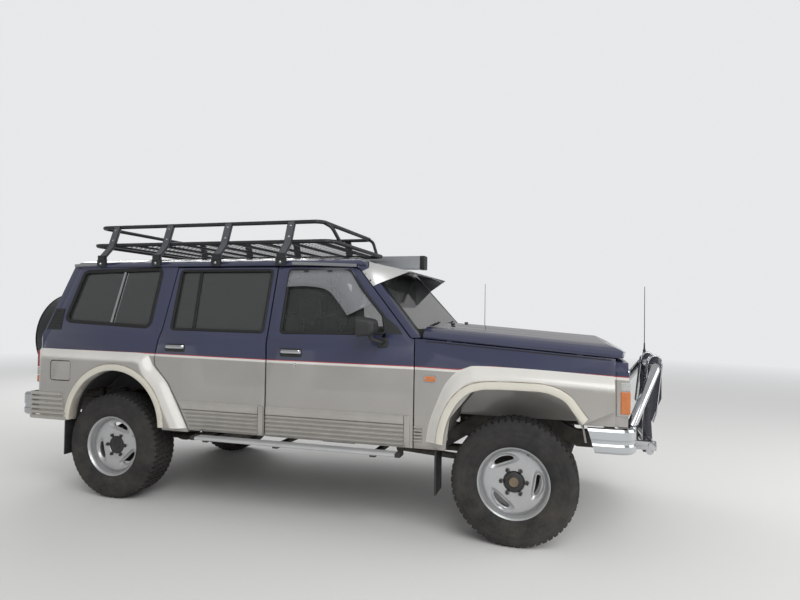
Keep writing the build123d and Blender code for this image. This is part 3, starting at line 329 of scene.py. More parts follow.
def startFinish(name, color, roughness, metallic=0.0, **sockets):
    mat = bpy.data.materials.new(name)
    mat.use_nodes = True
    shader = mat.node_tree.nodes["Principled BSDF"]
    shader.inputs["Base Color"].default_value = (*color, 1)
    shader.inputs["Roughness"].default_value = roughness
    shader.inputs["Metallic"].default_value = metallic
    for key, value in sockets.items():
        shader.inputs[key].default_value = value
    finishes[name] = mat
    w = Wires(mat.node_tree)
    place = w.add("ShaderNodeTexCoord").outputs["Object"]
    return w, shader, place


def coat(weight, roughness):
    return {"Coat Weight": weight, "Coat Roughness": roughness}


def plainFinish(name, color, roughness, metallic=0.0, vary=0.12, dust=0.0, dustHigh=1.0, grain=0.0, grainScale=500.0,
                scuff=0.0, broadBump=0.0, **sockets):  # colour that drifts, dust from the road, grain and scuffs
    w, shader, place = startFinish(name, color, roughness, metallic, **sockets)
    drift = w.range(w.noise(place, 5.0, 5.0, 0.6), 0.3, 0.7, 1.0 - vary, 1.0 + vary)
    tone = w.scaled(color, drift)
    rough = w.range(w.noise(place, 22.0, 5.0), 0.3, 0.7, roughness * 0.86, min(1.0, roughness * 1.16))
    if scuff:
        mask = useGroup(w, "scuffs", Place=place, Scale=8.0, Amount=scuff)["Mask"]
        tone = w.mixed(mask, tone, tuple(min(1.0, c * 1.6 + 0.08) for c in color))
        rough = w.plus(rough, w.times(mask, 0.25), clamp=True)
    if dust:
        mask = useGroup(w, "dust", Place=place, Low=0.15, High=dustHigh, Amount=dust, Scale=5.0)["Mask"]
        tone = w.mixed(mask, tone, dustTone)
        rough = w.plus(rough, w.times(mask, 0.35), clamp=True)
    w.fill(shader, {"Base Color": tone, "Roughness": rough})
    if grain or broadBump:
        height = 0.0
        if grain:
            height = useGroup(w, "grain", Place=place, Scale=grainScale, Depth=grain)["Height"]
        if broadBump:
            height = w.plus(height, w.times(w.noise(place, 9.0, 3.0), broadBump))
        bump = w.bump(0.35, 0.0015, height)
        w.set(shader.inputs["Normal"], bump)
    return finishes[name]


# deep is the near-black painted shade for faces set in behind the panel gaps, partly standing in for the black door
# seals
paint = {"navy": (0.030, 0.036, 0.083), "silver": (0.40, 0.385, 0.362), "red": (0.50, 0.05, 0.06),
         "pale": (0.82, 0.80, 0.76), "deep": (0.012, 0.013, 0.017)}


def buildBodyPaint(settings):
    w, shader, place = startFinish("bodyPaint", settings["navy"], 0.34, **coat(1.0, 0.06))
    tone = useGroup(w, "twoTone", Place=place, Upper=settings["navy"], Lower=settings["silver"], Red=settings["red"],
                    Pale=settings["pale"])
    x, y, z = w.split(place)[:3]
    flake = w.range(w.noise(place, 900.0, 2.0), 0.35, 0.65, 0.93, 1.08)
    sheen = w.range(w.noise(place, 2.2, 3.0), 0.3, 0.7, 0.96, 1.05)
    color = w.scaled(tone["Color"], w.times(flake, sheen))
    # painted shade: along the sides below the roof, faces set in 16 to 24 mm and more behind the skin go near black
    # and lose metal and coat, so the panel gaps read dark; this partly stands in for the black door seals
    lean = w.times(w.maths("MAXIMUM", w.minus(z, bendZ), 0.0), leanPerMetre)
    depth = w.minus(w.minus(halfWidth, lean), w.maths("ABSOLUTE", y))
    isSide = w.times(w.maths("LESS_THAN", x, 0.95), w.maths("GREATER_THAN", x, -2.02))
    low = w.maths("LESS_THAN", z, 1.742)
    gapShadeAndSeals = w.times(w.times(w.range(depth, 0.016, 0.024), isSide), low)
    color = w.mixed(gapShadeAndSeals, color, settings["deep"])
    grime = useGroup(w, "dust", Place=place, Low=0.50, High=0.92, Amount=0.34, Scale=4.0)["Mask"]
    color = w.mixed(grime, color, (0.34, 0.31, 0.27))
    w.fill(shader, {"Base Color": color})
    silverMetal = w.times(w.minus(1.0, tone["Upper"]), 0.35)
    w.fill(shader, {"Metallic": w.times(silverMetal, w.minus(1.0, gapShadeAndSeals))})
    rough = w.range(w.noise(place, 14.0, 5.0), 0.3, 0.7, 0.28, 0.38)
    w.fill(shader, {"Roughness": w.plus(rough, w.times(grime, 0.5), clamp=True),
                    "Coat Weight": w.minus(1.0, w.plus(grime, gapShadeAndSeals), clamp=True)})
    wave = w.plus(w.noise(place, 3.0, 2.0), w.times(w.noise(place, 260.0, 2.0), 0.02))
    bump = w.bump(0.12, 0.004, wave)
    w.fill(shader, {"Normal": bump})


def buildGlass(name, color, alpha, roughness=0.02):
    w, shader, place = startFinish(name, color, roughness, IOR=1.45, **coat(1.0, 0.01))
    haze = w.range(w.noise(place, 4.0, 4.0), 0.35, 0.7, 0.0, 0.03)
    streaks = w.add("ShaderNodeMapping", {"Vector": place, "Scale": (14.0, 14.0, 1.5)}).outputs[0]
    film = w.times(w.range(w.noise(streaks, 3.0, 5.0), 0.45, 0.8), 0.05)
    seen = w.plus(w.plus(alpha, haze), film, clamp=True)
    w.fill(shader, {"Alpha": seen,
                    "Roughness": w.range(w.noise(place, 18.0, 4.0), 0.3, 0.7, roughness, roughness + 0.04)})


def buildLens(name, color, ridges, metallic=0.0):
    w, shader, place = startFinish(name, color, 0.12, metallic, **coat(1.0, 0.02))
    x, y, z = w.split(place)[:3]
    across = w.maths("SINE", w.times(z, ridges))
    along = w.maths("SINE", w.times(w.plus(x, y), ridges))
    bump = w.bump(0.5, 0.002, w.plus(across, along))
    shade = w.range(w.times(across, along), -1.0, 1.0, 0.72, 1.12)
    tone = w.scaled(color, shade)
    w.fill(shader, {"Base Color": tone, "Normal": bump})


def buildCloth():
    w, shader, place = startFinish("seatCloth", (0.10, 0.11, 0.125), 0.92, **{"Sheen Weight": 0.3})
    x, y, z = w.split(place)[:3]
    warp = w.maths("SINE", w.times(w.plus(x, z), 2400.0))
    weft = w.maths("SINE", w.times(w.plus(y, z), 2400.0))
    weave = w.times(warp, weft)
    fleck = w.range(w.noise(place, 300.0, 3.0), 0.4, 0.65, 0.7, 1.5)
    tone = w.scaled((0.10, 0.11, 0.125), fleck)
    w.fill(shader, {"Base Color": tone})
    bump = w.bump(0.4, 0.0006, weave)
    w.fill(shader, {"Normal": bump})


buildBodyPaint(paint)
buildGlass("darkGlass", (0.045, 0.051, 0.048), 0.86)
buildGlass("clearGlass", (0.05, 0.06, 0.055), 0.30)
buildGlass("smokedSheet", (0.05, 0.055, 0.05), 0.62, 0.05)
buildGlass("shieldSheet", (0.30, 0.31, 0.33), 0.55, 0.08)
buildLens("orangeLens", (0.72, 0.20, 0.03), 900.0)
buildLens("redLens", (0.42, 0.02, 0.02), 800.0)
buildLens("clearLens", (0.55, 0.56, 0.55), 700.0)
buildLens("lampGlass", (0.42, 0.44, 0.46), 420.0, 0.85)
buildCloth()
plainFinish("blackTrim", (0.020, 0.021, 0.022), 0.52, grain=1.0, grainScale=420.0, dust=0.10, dustHigh=1.0)
plainFinish("sealRubber", (0.010, 0.010, 0.011), 0.62, grain=0.4, grainScale=300.0)
plainFinish("tyreRubber", (0.020, 0.020, 0.021), 0.80, dust=0.20, dustHigh=0.9, grain=0.8, grainScale=260.0)
plainFinish("chrome", (0.52, 0.54, 0.56), 0.12, 1.0, vary=0.05, dust=0.22, dustHigh=0.85, scuff=0.18)
plainFinish("polishedTube", (0.55, 0.56, 0.58), 0.16, 1.0, vary=0.06, dust=0.12, scuff=0.25)
plainFinish("darkPlate", (0.030, 0.033, 0.045), 0.26, 0.3, vary=0.1, dust=0.15, scuff=0.2, **{"Coat Weight": 0.6})
plainFinish("wheelAlloy", (0.56, 0.57, 0.58), 0.34, 0.75, vary=0.07, dust=0.38, dustHigh=0.75, scuff=0.3)
plainFinish("chassisBlack", (0.022, 0.022, 0.022), 0.6, dust=0.65, dustHigh=1.1, grain=0.5, grainScale=160.0)
plainFinish("castIron", (0.060, 0.055, 0.050), 0.7, 0.4, dust=0.6, dustHigh=1.2, grain=1.2, grainScale=220.0)
plainFinish("exhaustSteel", (0.17, 0.13, 0.10), 0.6, 0.7, vary=0.3, dust=0.45, dustHigh=1.0, scuff=0.4)
plainFinish("hubGrime", (0.22, 0.17, 0.12), 0.6, 0.5, vary=0.3, dust=0.3, scuff=0.5)
plainFinish("rackGrey", (0.105, 0.112, 0.122), 0.46, 0.3, vary=0.1, grain=0.5, grainScale=700.0, scuff=0.25)
plainFinish("rackBlack", (0.018, 0.019, 0.021), 0.42, vary=0.1, grain=0.4, grainScale=600.0, scuff=0.2)
plainFinish("awningSilver", (0.50, 0.52, 0.54), 0.36, 0.9, vary=0.06, scuff=0.2)
plainFinish("stepAluminium", (0.66, 0.67, 0.68), 0.33, 0.85, vary=0.07, dust=0.3, dustHigh=0.8, scuff=0.3)
plainFinish("dashPlastic", (0.055, 0.056, 0.060), 0.7, grain=1.4, grainScale=340.0)
plainFinish("carpet", (0.035, 0.035, 0.038), 0.95, vary=0.25, grain=2.0, grainScale=420.0)
plainFinish("headlining", (0.32, 0.31, 0.29), 0.9, vary=0.06, grain=1.0, grainScale=500.0)
plainFinish("coverVinyl", (0.016, 0.018, 0.020), 0.36, vary=0.12, grain=0.9, grainScale=380.0, broadBump=1.2)
plainFinish("visorSilver", (0.58, 0.58, 0.57), 0.38, 0.5, vary=0.08, scuff=0.3)
plainFinish("dialCream", (0.55, 0.54, 0.50), 0.5)
plainFinish("mirrorFace", (0.75, 0.76, 0.77), 0.03, 1.0, vary=0.02)
print("finishes ready:", len(finishes))


# mesh helpers
def wrap(name, shape, finish, body=None, smoothAngle=38, replaces=()):  # an object with its finish, riding
    mesh = bmeshToMesh(name, shape) if isinstance(shape, bmesh.types.BMesh) else shape
    piece = bpy.data.objects.new(name, mesh)
    bpy.context.scene.collection.objects.link(piece)
    if finish:
        mesh.materials.clear()
        mesh.materials.append(finishes[finish])
    if smoothAngle:
        mesh.shade_smooth()
        mesh.set_sharp_from_angle(angle=math.radians(smoothAngle))
    carried(piece, body, replaces)
    return piece


def carried(piece, body=None, replaces=()):  # says what the piece rides on and stands for
    if body:
        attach(piece, body)
    if replaces:
        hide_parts(*replaces)


def resharp(piece, angle):
    piece.data.shade_smooth()
    piece.data.set_sharp_from_angle(angle=math.radians(angle))


def bmeshToMesh(name, bm):
    bmesh.ops.remove_doubles(bm, verts=bm.verts, dist=1e-5)
    bmesh.ops.recalc_face_normals(bm, faces=bm.faces)
    mesh = bpy.data.meshes.new(name)
    bm.to_mesh(mesh)
    bm.free()
    return mesh


def meshToBmesh(mesh):
    bm = bmesh.new()
    bm.from_mesh(mesh)
    return bm


def applied(piece):  # modifiers made part of the mesh
    bpy.context.view_layer.update()
    graph = bpy.context.evaluated_depsgraph_get()
    mesh = bpy.data.meshes.new_from_object(piece.evaluated_get(graph), preserve_all_data_layers=True, depsgraph=graph)
    old = piece.data
    piece.modifiers.clear()
    piece.data = mesh
    bpy.data.meshes.remove(old)
    return piece


def skinOver(bm, rings, closed=False, capped=True):  # faces between neighbouring rings and over the two ends
    for a, b in zip(rings, rings[1:] + rings[:closed]):
        for k in range(len(a)):
            n = (k + 1) % len(a)
            bm.faces.new((a[k], a[n], b[n], b[k]))
    if capped and not closed:
        bm.faces.new(rings[0][::-1])
        bm.faces.new(rings[-1])


def netOver(bm, rows):  # faces between neighbouring rows of an open net
    for a, b in zip(rows, rows[1:]):
        for k in range(len(a) - 1):
            bm.faces.new((a[k], b[k], b[k + 1], a[k + 1]))


def addBlock(bm, low, high, bevel=0.004, segments=2):  # block with rounded edges
    low, high = Vector(low), Vector(high)
    middle, size = (low + high) / 2, high - low
    made = bmesh.ops.create_cube(bm, size=1.0, matrix=Matrix.Translation(middle) @ Matrix.Diagonal((*size, 1)))
    if bevel:
        edges = {e for v in made["verts"] for e in v.link_edges}
        bmesh.ops.bevel(bm, geom=list(edges), offset=bevel, segments=segments, profile=0.6, affect="EDGES")


def addLathe(bm, profile, centre, axis, segments=64, closed=False):  # (along, radius) pairs turned about an axis
    axis = Vector(axis).normalized()
    side = axis.orthogonal().normalized()
    other = axis.cross(side)
    rings = []
    for along, radius in profile:
        if radius < 1e-6:
            rings.append([bm.verts.new(Vector(centre) + axis * along)])
            continue
        ring = []
        for k in range(segments):
            angle = 2 * math.pi * k / segments
            ring.append(bm.verts.new(
                Vector(centre) + axis * along + (side * math.cos(angle) + other * math.sin(angle)) * radius))
        rings.append(ring)
    pairs = list(zip(rings, rings[1:]))
    if closed:
        pairs.append((rings[-1], rings[0]))
    for a, b in pairs:
        for k in range(segments):
            n = (k + 1) % segments
            if len(a) == 1 and len(b) == 1:
                continue
            if len(a) == 1:
                bm.faces.new((a[0], b[n], b[k]))
            elif len(b) == 1:
                bm.faces.new((a[k], a[n], b[0]))
            else:
                bm.faces.new((a[k], a[n], b[n], b[k]))


def roundedPath(points, radius, steps=6, closed=False):  # straight runs joined by arcs
    points = [Vector(p) for p in points]
    count = len(points)
    radii = radius if isinstance(radius, (list, tuple)) else [radius] * count
    path = []
    for i, p in enumerate(points):
        if not closed and i in (0, count - 1):
            path.append(p)
            continue
        before, after = points[i - 1] - p, points[(i + 1) % count] - p
        angle = before.angle(after)
        if radii[i] <= 0 or angle > math.pi - 0.02:
            path.append(p)
            continue
        cut = min(radii[i] / math.tan(angle / 2), before.length * 0.48, after.length * 0.48)
        real = cut * math.tan(angle / 2)
        start, end = p + before.normalized() * cut, p + after.normalized() * cut
        centre = p + (before.normalized() + after.normalized()).normalized() * (real / math.sin(angle / 2))
        a, b = start - centre, end - centre
        for k in range(steps + 1):
            path.append(centre + a.slerp(b, k / steps).normalized() * a.length if a.angle(b) > 1e-4 else start)
    return path


def circleSection(radius, segments=12, flat=1.0):
    return [(radius * math.cos(2 * math.pi * k / segments), radius * flat * math.sin(2 * math.pi * k / segments))
            for k in range(segments)]


def addSweep(bm, path, section, closed=False, up=(0, 0, 1)):  # a section carried along a path
    path = [Vector(p) for p in path]
    count = len(path)
    rings = []
    for i, p in enumerate(path):
        if closed:
            way = path[(i + 1) % count] - path[i - 1]
        else:
            way = path[min(i + 1, count - 1)] - path[max(i - 1, 0)]
        way.normalize()
        side = way.cross(Vector(up))
        if side.length < 1e-4:
            side = way.cross(Vector((0, 1, 0.01)))
        side.normalize()
        over = side.cross(way).normalized()
        rings.append([bm.verts.new(p + side * a + over * b) for a, b in section])
    skinOver(bm, rings, closed)


def addProfileRun(bm, profile, xAt, side):  # (y, z) section carried along the vehicle between xAt(z) ends
    skinOver(bm, [[bm.verts.new((xAt(z)[end], side * y, z)) for y, z in profile] for end in (0, 1)])


def soften(piece, width, segments=2, angle=35, smoothAngle=45):  # rounded edges made part of the mesh
    piece.data.shade_smooth()
    bevel = piece.modifiers.new("edges", "BEVEL")
    bevel.width = width
    bevel.segments = segments
    bevel.limit_method = "ANGLE"
    bevel.angle_limit = math.radians(angle)
    bevel.harden_normals = True
    bevel.use_clamp_overlap = True
    applied(piece)
    piece.data.set_sharp_from_angle(angle=math.radians(smoothAngle))


def inBoxes(point, boxes):
    return any(all(low[i] <= point[i] <= high[i] for i in range(3)) for low, high in boxes)


def dropFaces(bm, boxes):
    gone = [f for f in bm.faces if inBoxes(f.calc_center_median(), boxes)]
    bmesh.ops.delete(bm, geom=gone, context="FACES")


def roundedCopy(node, name, finish, body, width=0.003, segments=2, smoothAngle=50, drop=(), flat=0.6):
    # a packed panel with its edges rounded; drop names the boxes whose faces other pieces stand for
    mesh = nodes[node].data.copy()
    bm = meshToBmesh(mesh)
    bmesh.ops.remove_doubles(bm, verts=bm.verts, dist=2e-5)
    dropFaces(bm, drop)
    bmesh.ops.dissolve_limit(bm, angle_limit=math.radians(flat), verts=bm.verts, edges=bm.edges)
    bm.to_mesh(mesh)
    bm.free()
    piece = wrap(name, mesh, finish, smoothAngle=None)
    soften(piece, width, segments, 32, smoothAngle)
    carried(piece, body, (node,))
    return piece


def refinish(piece, finish, chosen):  # a second finish on the faces that chosen picks
    piece.data.materials.append(finishes[finish])
    for face in piece.data.polygons:
        if chosen(face):
            face.material_index = 1


def thicken(piece, thickness, offset=-1):
    thick = piece.modifiers.new("thick", "SOLIDIFY")
    thick.thickness = thickness
    thick.offset = offset
    applied(piece)


def cutAway(piece, cutter):  # boolean difference, then the cutter goes
    knife = wrap("knife", cutter, None, smoothAngle=None)
    cut = piece.modifiers.new("cut", "BOOLEAN")
    cut.object = knife
    cut.operation = "DIFFERENCE"
    cut.solver = "EXACT"
    applied(piece)
    bpy.data.objects.remove(knife)


def addPlate(bm, points, up, down):  # flat plate between two places of each point, such as its outer and inner side
    skinOver(bm, [[bm.verts.new(place(p)) for p in points] for place in (up, down)])


def roundedRing(centre, size, radius, segments=6):  # (x, z) points of a rounded rectangle
    cx, cz = centre
    hx, hz = size[0] / 2 - radius, size[1] / 2 - radius
    ring = []
    for sx, sz, start in ((1, 1, 0), (-1, 1, 90), (-1, -1, 180), (1, -1, 270)):
        for k in range(segments + 1):
            angle = math.radians(start + 90 * k / segments)
            ring.append((cx + sx * hx + radius * math.cos(angle), cz + sz * hz + radius * math.sin(angle)))
    return ring


# Geometry Nodes that repeat a shape
def newTree(name, takes):
    tree = bpy.data.node_groups.new(name, "GeometryNodeTree")
    tree.interface.new_socket("Geometry", in_out="INPUT", socket_type="NodeSocketGeometry")
    for label, kind, value in takes:
        socket = tree.interface.new_socket(label, in_out="INPUT", socket_type=kind)
        if value is not None:
            socket.default_value = value
    tree.interface.new_socket("Geometry", in_out="OUTPUT", socket_type="NodeSocketGeometry")
    return tree, tree.nodes.new("NodeGroupInput"), tree.nodes.new("NodeGroupOutput")


def endTree(tree, given, out, geometry):
    solid = tree.nodes.new("GeometryNodeRealizeInstances")
    painted = tree.nodes.new("GeometryNodeSetMaterial")
    tree.links.new(geometry, solid.inputs["Geometry"])
    tree.links.new(solid.outputs[0], painted.inputs["Geometry"])
    tree.links.new(given.outputs["Finish"], painted.inputs["Material"])
    tree.links.new(painted.outputs[0], out.inputs["Geometry"])


def addTreeNodes(tree, kinds):
    return [tree.nodes.new(f"GeometryNode{kind}") for kind in kinds]


def joinSockets(tree, pairs):
    for start, end in pairs:
        tree.links.new(start, end)


def buildRepeatTree():  # the piece's own mesh again and again: copy i is turned i times and moved i steps
    takes = [("Count", "NodeSocketInt", 4), ("Step", "NodeSocketVector", None), ("Turn", "NodeSocketVector", None),
             ("Centre", "NodeSocketVector", None), ("Finish", "NodeSocketMaterial", None)]
    tree, given, out = newTree("repeatShape", takes)
    line, index, copies, move = addTreeNodes(tree, ("MeshLine", "InputIndex", "InstanceOnPoints", "Transform"))
    line.mode = "OFFSET"
    turn = tree.nodes.new("ShaderNodeVectorMath")
    turn.operation = "SCALE"
    joinSockets(tree, [(given.outputs["Count"], line.inputs["Count"]), (given.outputs["Step"], line.inputs["Offset"]),
                       (given.outputs["Turn"], turn.inputs[0]), (index.outputs[0], turn.inputs["Scale"]),
                       (line.outputs[0], copies.inputs["Points"]),
                       (given.outputs["Geometry"], copies.inputs["Instance"]),
                       (turn.outputs[0], copies.inputs["Rotation"]), (copies.outputs[0], move.inputs["Geometry"]),
                       (given.outputs["Centre"], move.inputs["Translation"])])
    endTree(tree, given, out, move.outputs[0])
    return tree


def buildSpringTree():  # a wire coil that stands on Base
    takes = [("Turns", "NodeSocketFloat", 6.0), ("Radius", "NodeSocketFloat", 0.05),
             ("Height", "NodeSocketFloat", 0.2), ("Wire", "NodeSocketFloat", 0.008),
             ("Base", "NodeSocketVector", None), ("Finish", "NodeSocketMaterial", None)]
    tree, given, out = newTree("coilSpring", takes)
    spiral, wire, coil, move = addTreeNodes(tree, ("CurveSpiral", "CurvePrimitiveCircle", "CurveToMesh", "Transform"))
    spiral.inputs["Resolution"].default_value = 20
    wire.inputs["Resolution"].default_value = 10
    coil.inputs["Fill Caps"].default_value = True
    joinSockets(tree, [(given.outputs["Turns"], spiral.inputs["Rotations"]),
                       (given.outputs["Radius"], spiral.inputs["Start Radius"]),
                       (given.outputs["Radius"], spiral.inputs["End Radius"]),
                       (given.outputs["Height"], spiral.inputs["Height"]),
                       (given.outputs["Wire"], wire.inputs["Radius"]), (spiral.outputs[0], coil.inputs["Curve"]),
                       (wire.outputs[0], coil.inputs["Profile Curve"]), (coil.outputs[0], move.inputs["Geometry"]),
                       (given.outputs["Base"], move.inputs["Translation"])])
    endTree(tree, given, out, move.outputs[0])
    return tree


trees = {"repeat": buildRepeatTree(), "spring": buildSpringTree()}


def grow(piece, treeName, **values):  # runs a tree on a piece and keeps the plain mesh
    modifier = piece.modifiers.new(treeName, "NODES")
    modifier.node_group = trees[treeName]
    for item in trees[treeName].interface.items_tree:
        if item.in_out == "INPUT" and item.name in values:
            modifier[item.identifier] = values[item.name]
    applied(piece)
    return piece


def repeated(name, shape, finish, body, count, step=(0, 0, 0), turn=(0, 0, 0), centre=(0, 0, 0), smoothAngle=38):
    piece = wrap(name, shape, finish, smoothAngle=None)
    grow(piece, "repeat", Count=count, Step=tuple(step), Turn=tuple(turn), Centre=tuple(centre),
         Finish=finishes[finish])
    resharp(piece, smoothAngle)
    carried(piece, body)
    return piece


# wheels; blocks hold middle, half width and slant, and sideLug across, share of the pitch and height
tyre = {"radius": 0.3885, "tread": 0.0085, "pitches": 58, "bead": 0.213, "beadHalf": 0.104,
        "lugGap": 0.0036, "blocks": ((0.0, 0.0165, 0.30), (0.043, 0.0175, -0.22), (-0.043, 0.0175, 0.22)),
        "shoulder": (0.0655, 0.1035),
        "sideLug": ((0.1030, -0.30, 0.3835), (0.1030, 0.30, 0.3835), (0.1205, 0.24, 0.3620), (0.1205, -0.24, 0.3620)),
        "wall": ((0.236, 0.124), (0.243, 0.127), (0.252, 0.1315), (0.290, 0.1355), (0.2925, 0.1345), (0.296, 0.1355),
                 (0.322, 0.1335), (0.3245, 0.1322), (0.327, 0.1330), (0.345, 0.1290), (0.358, 0.1235))}
wheels = {"front": (axleX, 0.790), "rear": (rearX, 0.790)}
wheelParts = {"nutRadius": 0.0815, "slotRadius": 0.148, "slotHalfLength": 0.063, "slotHalfWidth": 0.0185,
              "slotBend": 2.4, "slotSkew": 0.10, "firstSlot": 117, "faceSteps": 132, "slotSteps": 40,
              "valve": 64, "valveRadius": 0.186, "rearSpin": -38, "rearCap": (1.08, 0.94, 1.08, 1),
              "radii": [0.030, 0.050, 0.060, 0.068, 0.078, 0.088, 0.098] + [0.104 + 0.0042 * k for k in range(22)]
              + [0.197, 0.2005]}
# (along the axle, radius) sections
wheelSections = {
    "barrel": [(-0.112, 0.2215), (-0.104, 0.2205), (-0.102, 0.209), (-0.070, 0.206), (-0.030, 0.196),
               (0.040, 0.197), (0.046, 0.200), (0.066, 0.2015), (0.088, 0.2045), (0.102, 0.2075), (0.108, 0.2125),
               (0.1135, 0.2185), (0.1135, 0.2212), (0.110, 0.2225), (0.104, 0.2215), (0.101, 0.2125),
               (0.080, 0.2125), (0.030, 0.204), (-0.030, 0.203), (-0.080, 0.2125), (-0.104, 0.2125),
               (-0.108, 0.2222)],
    "valve": [(0, 0), (0, 0.006), (0.012, 0.0055), (0.014, 0.004), (0.036, 0.004), (0.038, 0)],
    "cap": [(0.030, 0), (0.030, 0.062), (0.058, 0.0615), (0.064, 0.059), (0.067, 0.054), (0.069, 0.047),
            (0.0685, 0.040), (0.071, 0.038), (0.073, 0.030), (0.071, 0.024), (0.071, 0)],
    "dial": [(0.070, 0), (0.070, 0.029), (0.076, 0.0285), (0.0785, 0.026), (0.0785, 0.021), (0.0765, 0.019),
             (0.0765, 0.006), (0.080, 0.005), (0.080, 0)],
    "washer": [(0.052, 0), (0.052, 0.0185), (0.060, 0.0175), (0.0645, 0.0145), (0.0645, 0.0125), (0.055, 0.0118),
               (0.055, 0)],
    "nut": [(0.054, 0), (0.054, 0.0105), (0.074, 0.0105), (0.078, 0.007), (0.078, 0)]}


def tyreProfile(s):
    base = s["radius"] - s["tread"]
    side = [(half, radius) for radius, half in s["wall"]]
    outer = side + [(0.1165, 0.368), (0.108, base - 0.003), (0.085, base - 0.0005), (0.045, base), (0, base)]
    rest = [(-along, radius) for along, radius in outer[::-1][1:]]
    inner = [(s["beadHalf"], s["bead"]), (0.090, s["bead"] + 0.004), (0.112, 0.25), (0.120, 0.31), (0.095, 0.362)]
    return outer + rest + [(-along, radius) for along, radius in inner] + inner[::-1]


def addLug(bm, ring, base, top, chamfer=0.0022):  # tread block from an (across, along) outline, narrowed at the top
    middle = sum((Vector((x, y, 0)) for y, x in ring), Vector()) / len(ring)
    inward = [(Vector((x, y, 0)) - middle).normalized() * chamfer for y, x in ring]
    lows = [bm.verts.new((x, y, base)) for y, x in ring]
    skinOver(bm, [lows, [bm.verts.new((v.co.x - way.x, v.co.y - way.y, top)) for v, way in zip(lows, inward)]])


def treadMesh(s):  # one pitch of tread at the top of the wheel: centre ribs, blocks and shoulder lugs
    bm = bmesh.new()
    pitch = 2 * math.pi * s["radius"] / s["pitches"]
    base, top = s["radius"] - s["tread"] - 0.001, s["radius"] - 0.0004
    gap = s["lugGap"]
    for middle, half, slant in s["blocks"]:
        skew = pitch * slant * 0.5
        addLug(bm, [(middle - half, -pitch / 2 + gap + skew), (middle + half, -pitch / 2 + gap - skew),
                    (middle + half, pitch / 2 - gap - skew), (middle + half * 0.3, pitch / 2 - gap - skew * 0.2),
                    (middle, pitch / 2 - gap - 0.004), (middle - half, pitch / 2 - gap + skew)], base, top)
    inner, outer = s["shoulder"]
    for side in (-1, 1):
        offset = pitch * (0.5 if side > 0 else 0.0) - pitch / 4
        ring = [(side * inner, offset - pitch / 2 + gap), (side * outer, offset - pitch / 2 + gap + 0.003),
                (side * outer, offset + pitch / 2 - gap - 0.003), (side * inner, offset + pitch / 2 - gap)]
        addLug(bm, ring[::side], base, top - 0.0012, 0.003)
        low = [(side * y, offset + pitch * share, z) for y, share, z in s["sideLug"]]
        skinOver(bm, [[bm.verts.new((x, y, z)) for y, x, z in low],
                      [bm.verts.new((x, y - side * 0.006, z - 0.006)) for y, x, z in low]])
    return bmeshToMesh("treadPitch", bm)


def slotPlace(s, k):  # angle and middle of a slot
    angle = math.radians(s["firstSlot"] + 120 * k)
    return angle, s["slotRadius"] * math.cos(angle), s["slotRadius"] * math.sin(angle)


def slotBlend(x, z, s):  # how deep in one of the three pockets a point of the wheel's face lies, 0 to 1
    deepest = 0.0
    for k in range(3):
        angle, cx, cz = slotPlace(s, k)
        dx, dz = x - cx, z - cz
        along = -dx * math.sin(angle) + dz * math.cos(angle)
        out = dx * math.cos(angle) + dz * math.sin(angle) + along * along * s["slotBend"] - along * s["slotSkew"]
        away = math.hypot(along / (s["slotHalfLength"] + 0.022), out / (s["slotHalfWidth"] + 0.015))
        t = min(1.0, max(0.0, (1.16 - away) / 0.42))
        deepest = max(deepest, t * t * (3 - 2 * t))
    return deepest


def rimFaceMesh(s):  # dished face with three pockets, a solid shell, and the slots cut through it
    bm = bmesh.new()
    fronts, backs = [], []
    for radius in s["radii"]:
        crown = 0.058 + 0.010 * math.sin(min(1.0, max(0.0, (radius - 0.05) / 0.13)) * math.pi * 0.75)
        crown = 0.050 if radius < 0.062 else crown
        edge = max(0.0, (radius - 0.186) / 0.0145)
        ring = circleSection(radius, s["faceSteps"])
        heights = [crown - 0.017 * slotBlend(x, z, s) - 0.010 * edge for x, z in ring]
        fronts.append([bm.verts.new((x, y, z)) for (x, z), y in zip(ring, heights)])
        backs.append([bm.verts.new((x, y - 0.013, z)) for (x, z), y in zip(ring, heights)])
    skinOver(bm, fronts + backs[::-1], closed=True)
    face = wrap("rimBlank", bm, "wheelAlloy", smoothAngle=None)
    cutter = bmesh.new()
    for k in range(3):
        angle, cx, cz = slotPlace(s, k)
        ring = []
        for j in range(s["slotSteps"]):
            c, d = math.cos(2 * math.pi * j / s["slotSteps"]), math.sin(2 * math.pi * j / s["slotSteps"])
            along = s["slotHalfLength"] * math.copysign(abs(c) ** 0.8, c)
            out = s["slotHalfWidth"] * math.copysign(abs(d) ** 0.8, d)
            out += along * s["slotSkew"] - along * along * s["slotBend"]
            ring.append((cx + out * math.cos(angle) - along * math.sin(angle),
                         cz + out * math.sin(angle) + along * math.cos(angle)))
        skinOver(cutter, [[cutter.verts.new((x, depth, z)) for x, z in ring] for depth in (-0.02, 0.10)])
    cutAway(face, cutter)
    result = face.data.copy()
    bpy.data.objects.remove(face)
    return result


def placedCopy(mesh, matrix, name):
    copy = mesh.copy()
    copy.name = name
    copy.transform(matrix)
    if matrix.determinant() < 0:
        copy.flip_normals()
    return copy


def turnedMesh(name, sections, extra=None):  # lathed about the axle; each section has its place and its steps
    bm = bmesh.new()
    for section, place, steps, closed in sections:
        addLathe(bm, wheelSections[section], place, (0, 1, 0), steps, closed)
    if extra:
        addBlock(bm, *extra, 0.001)
    return bmeshToMesh(name, bm)


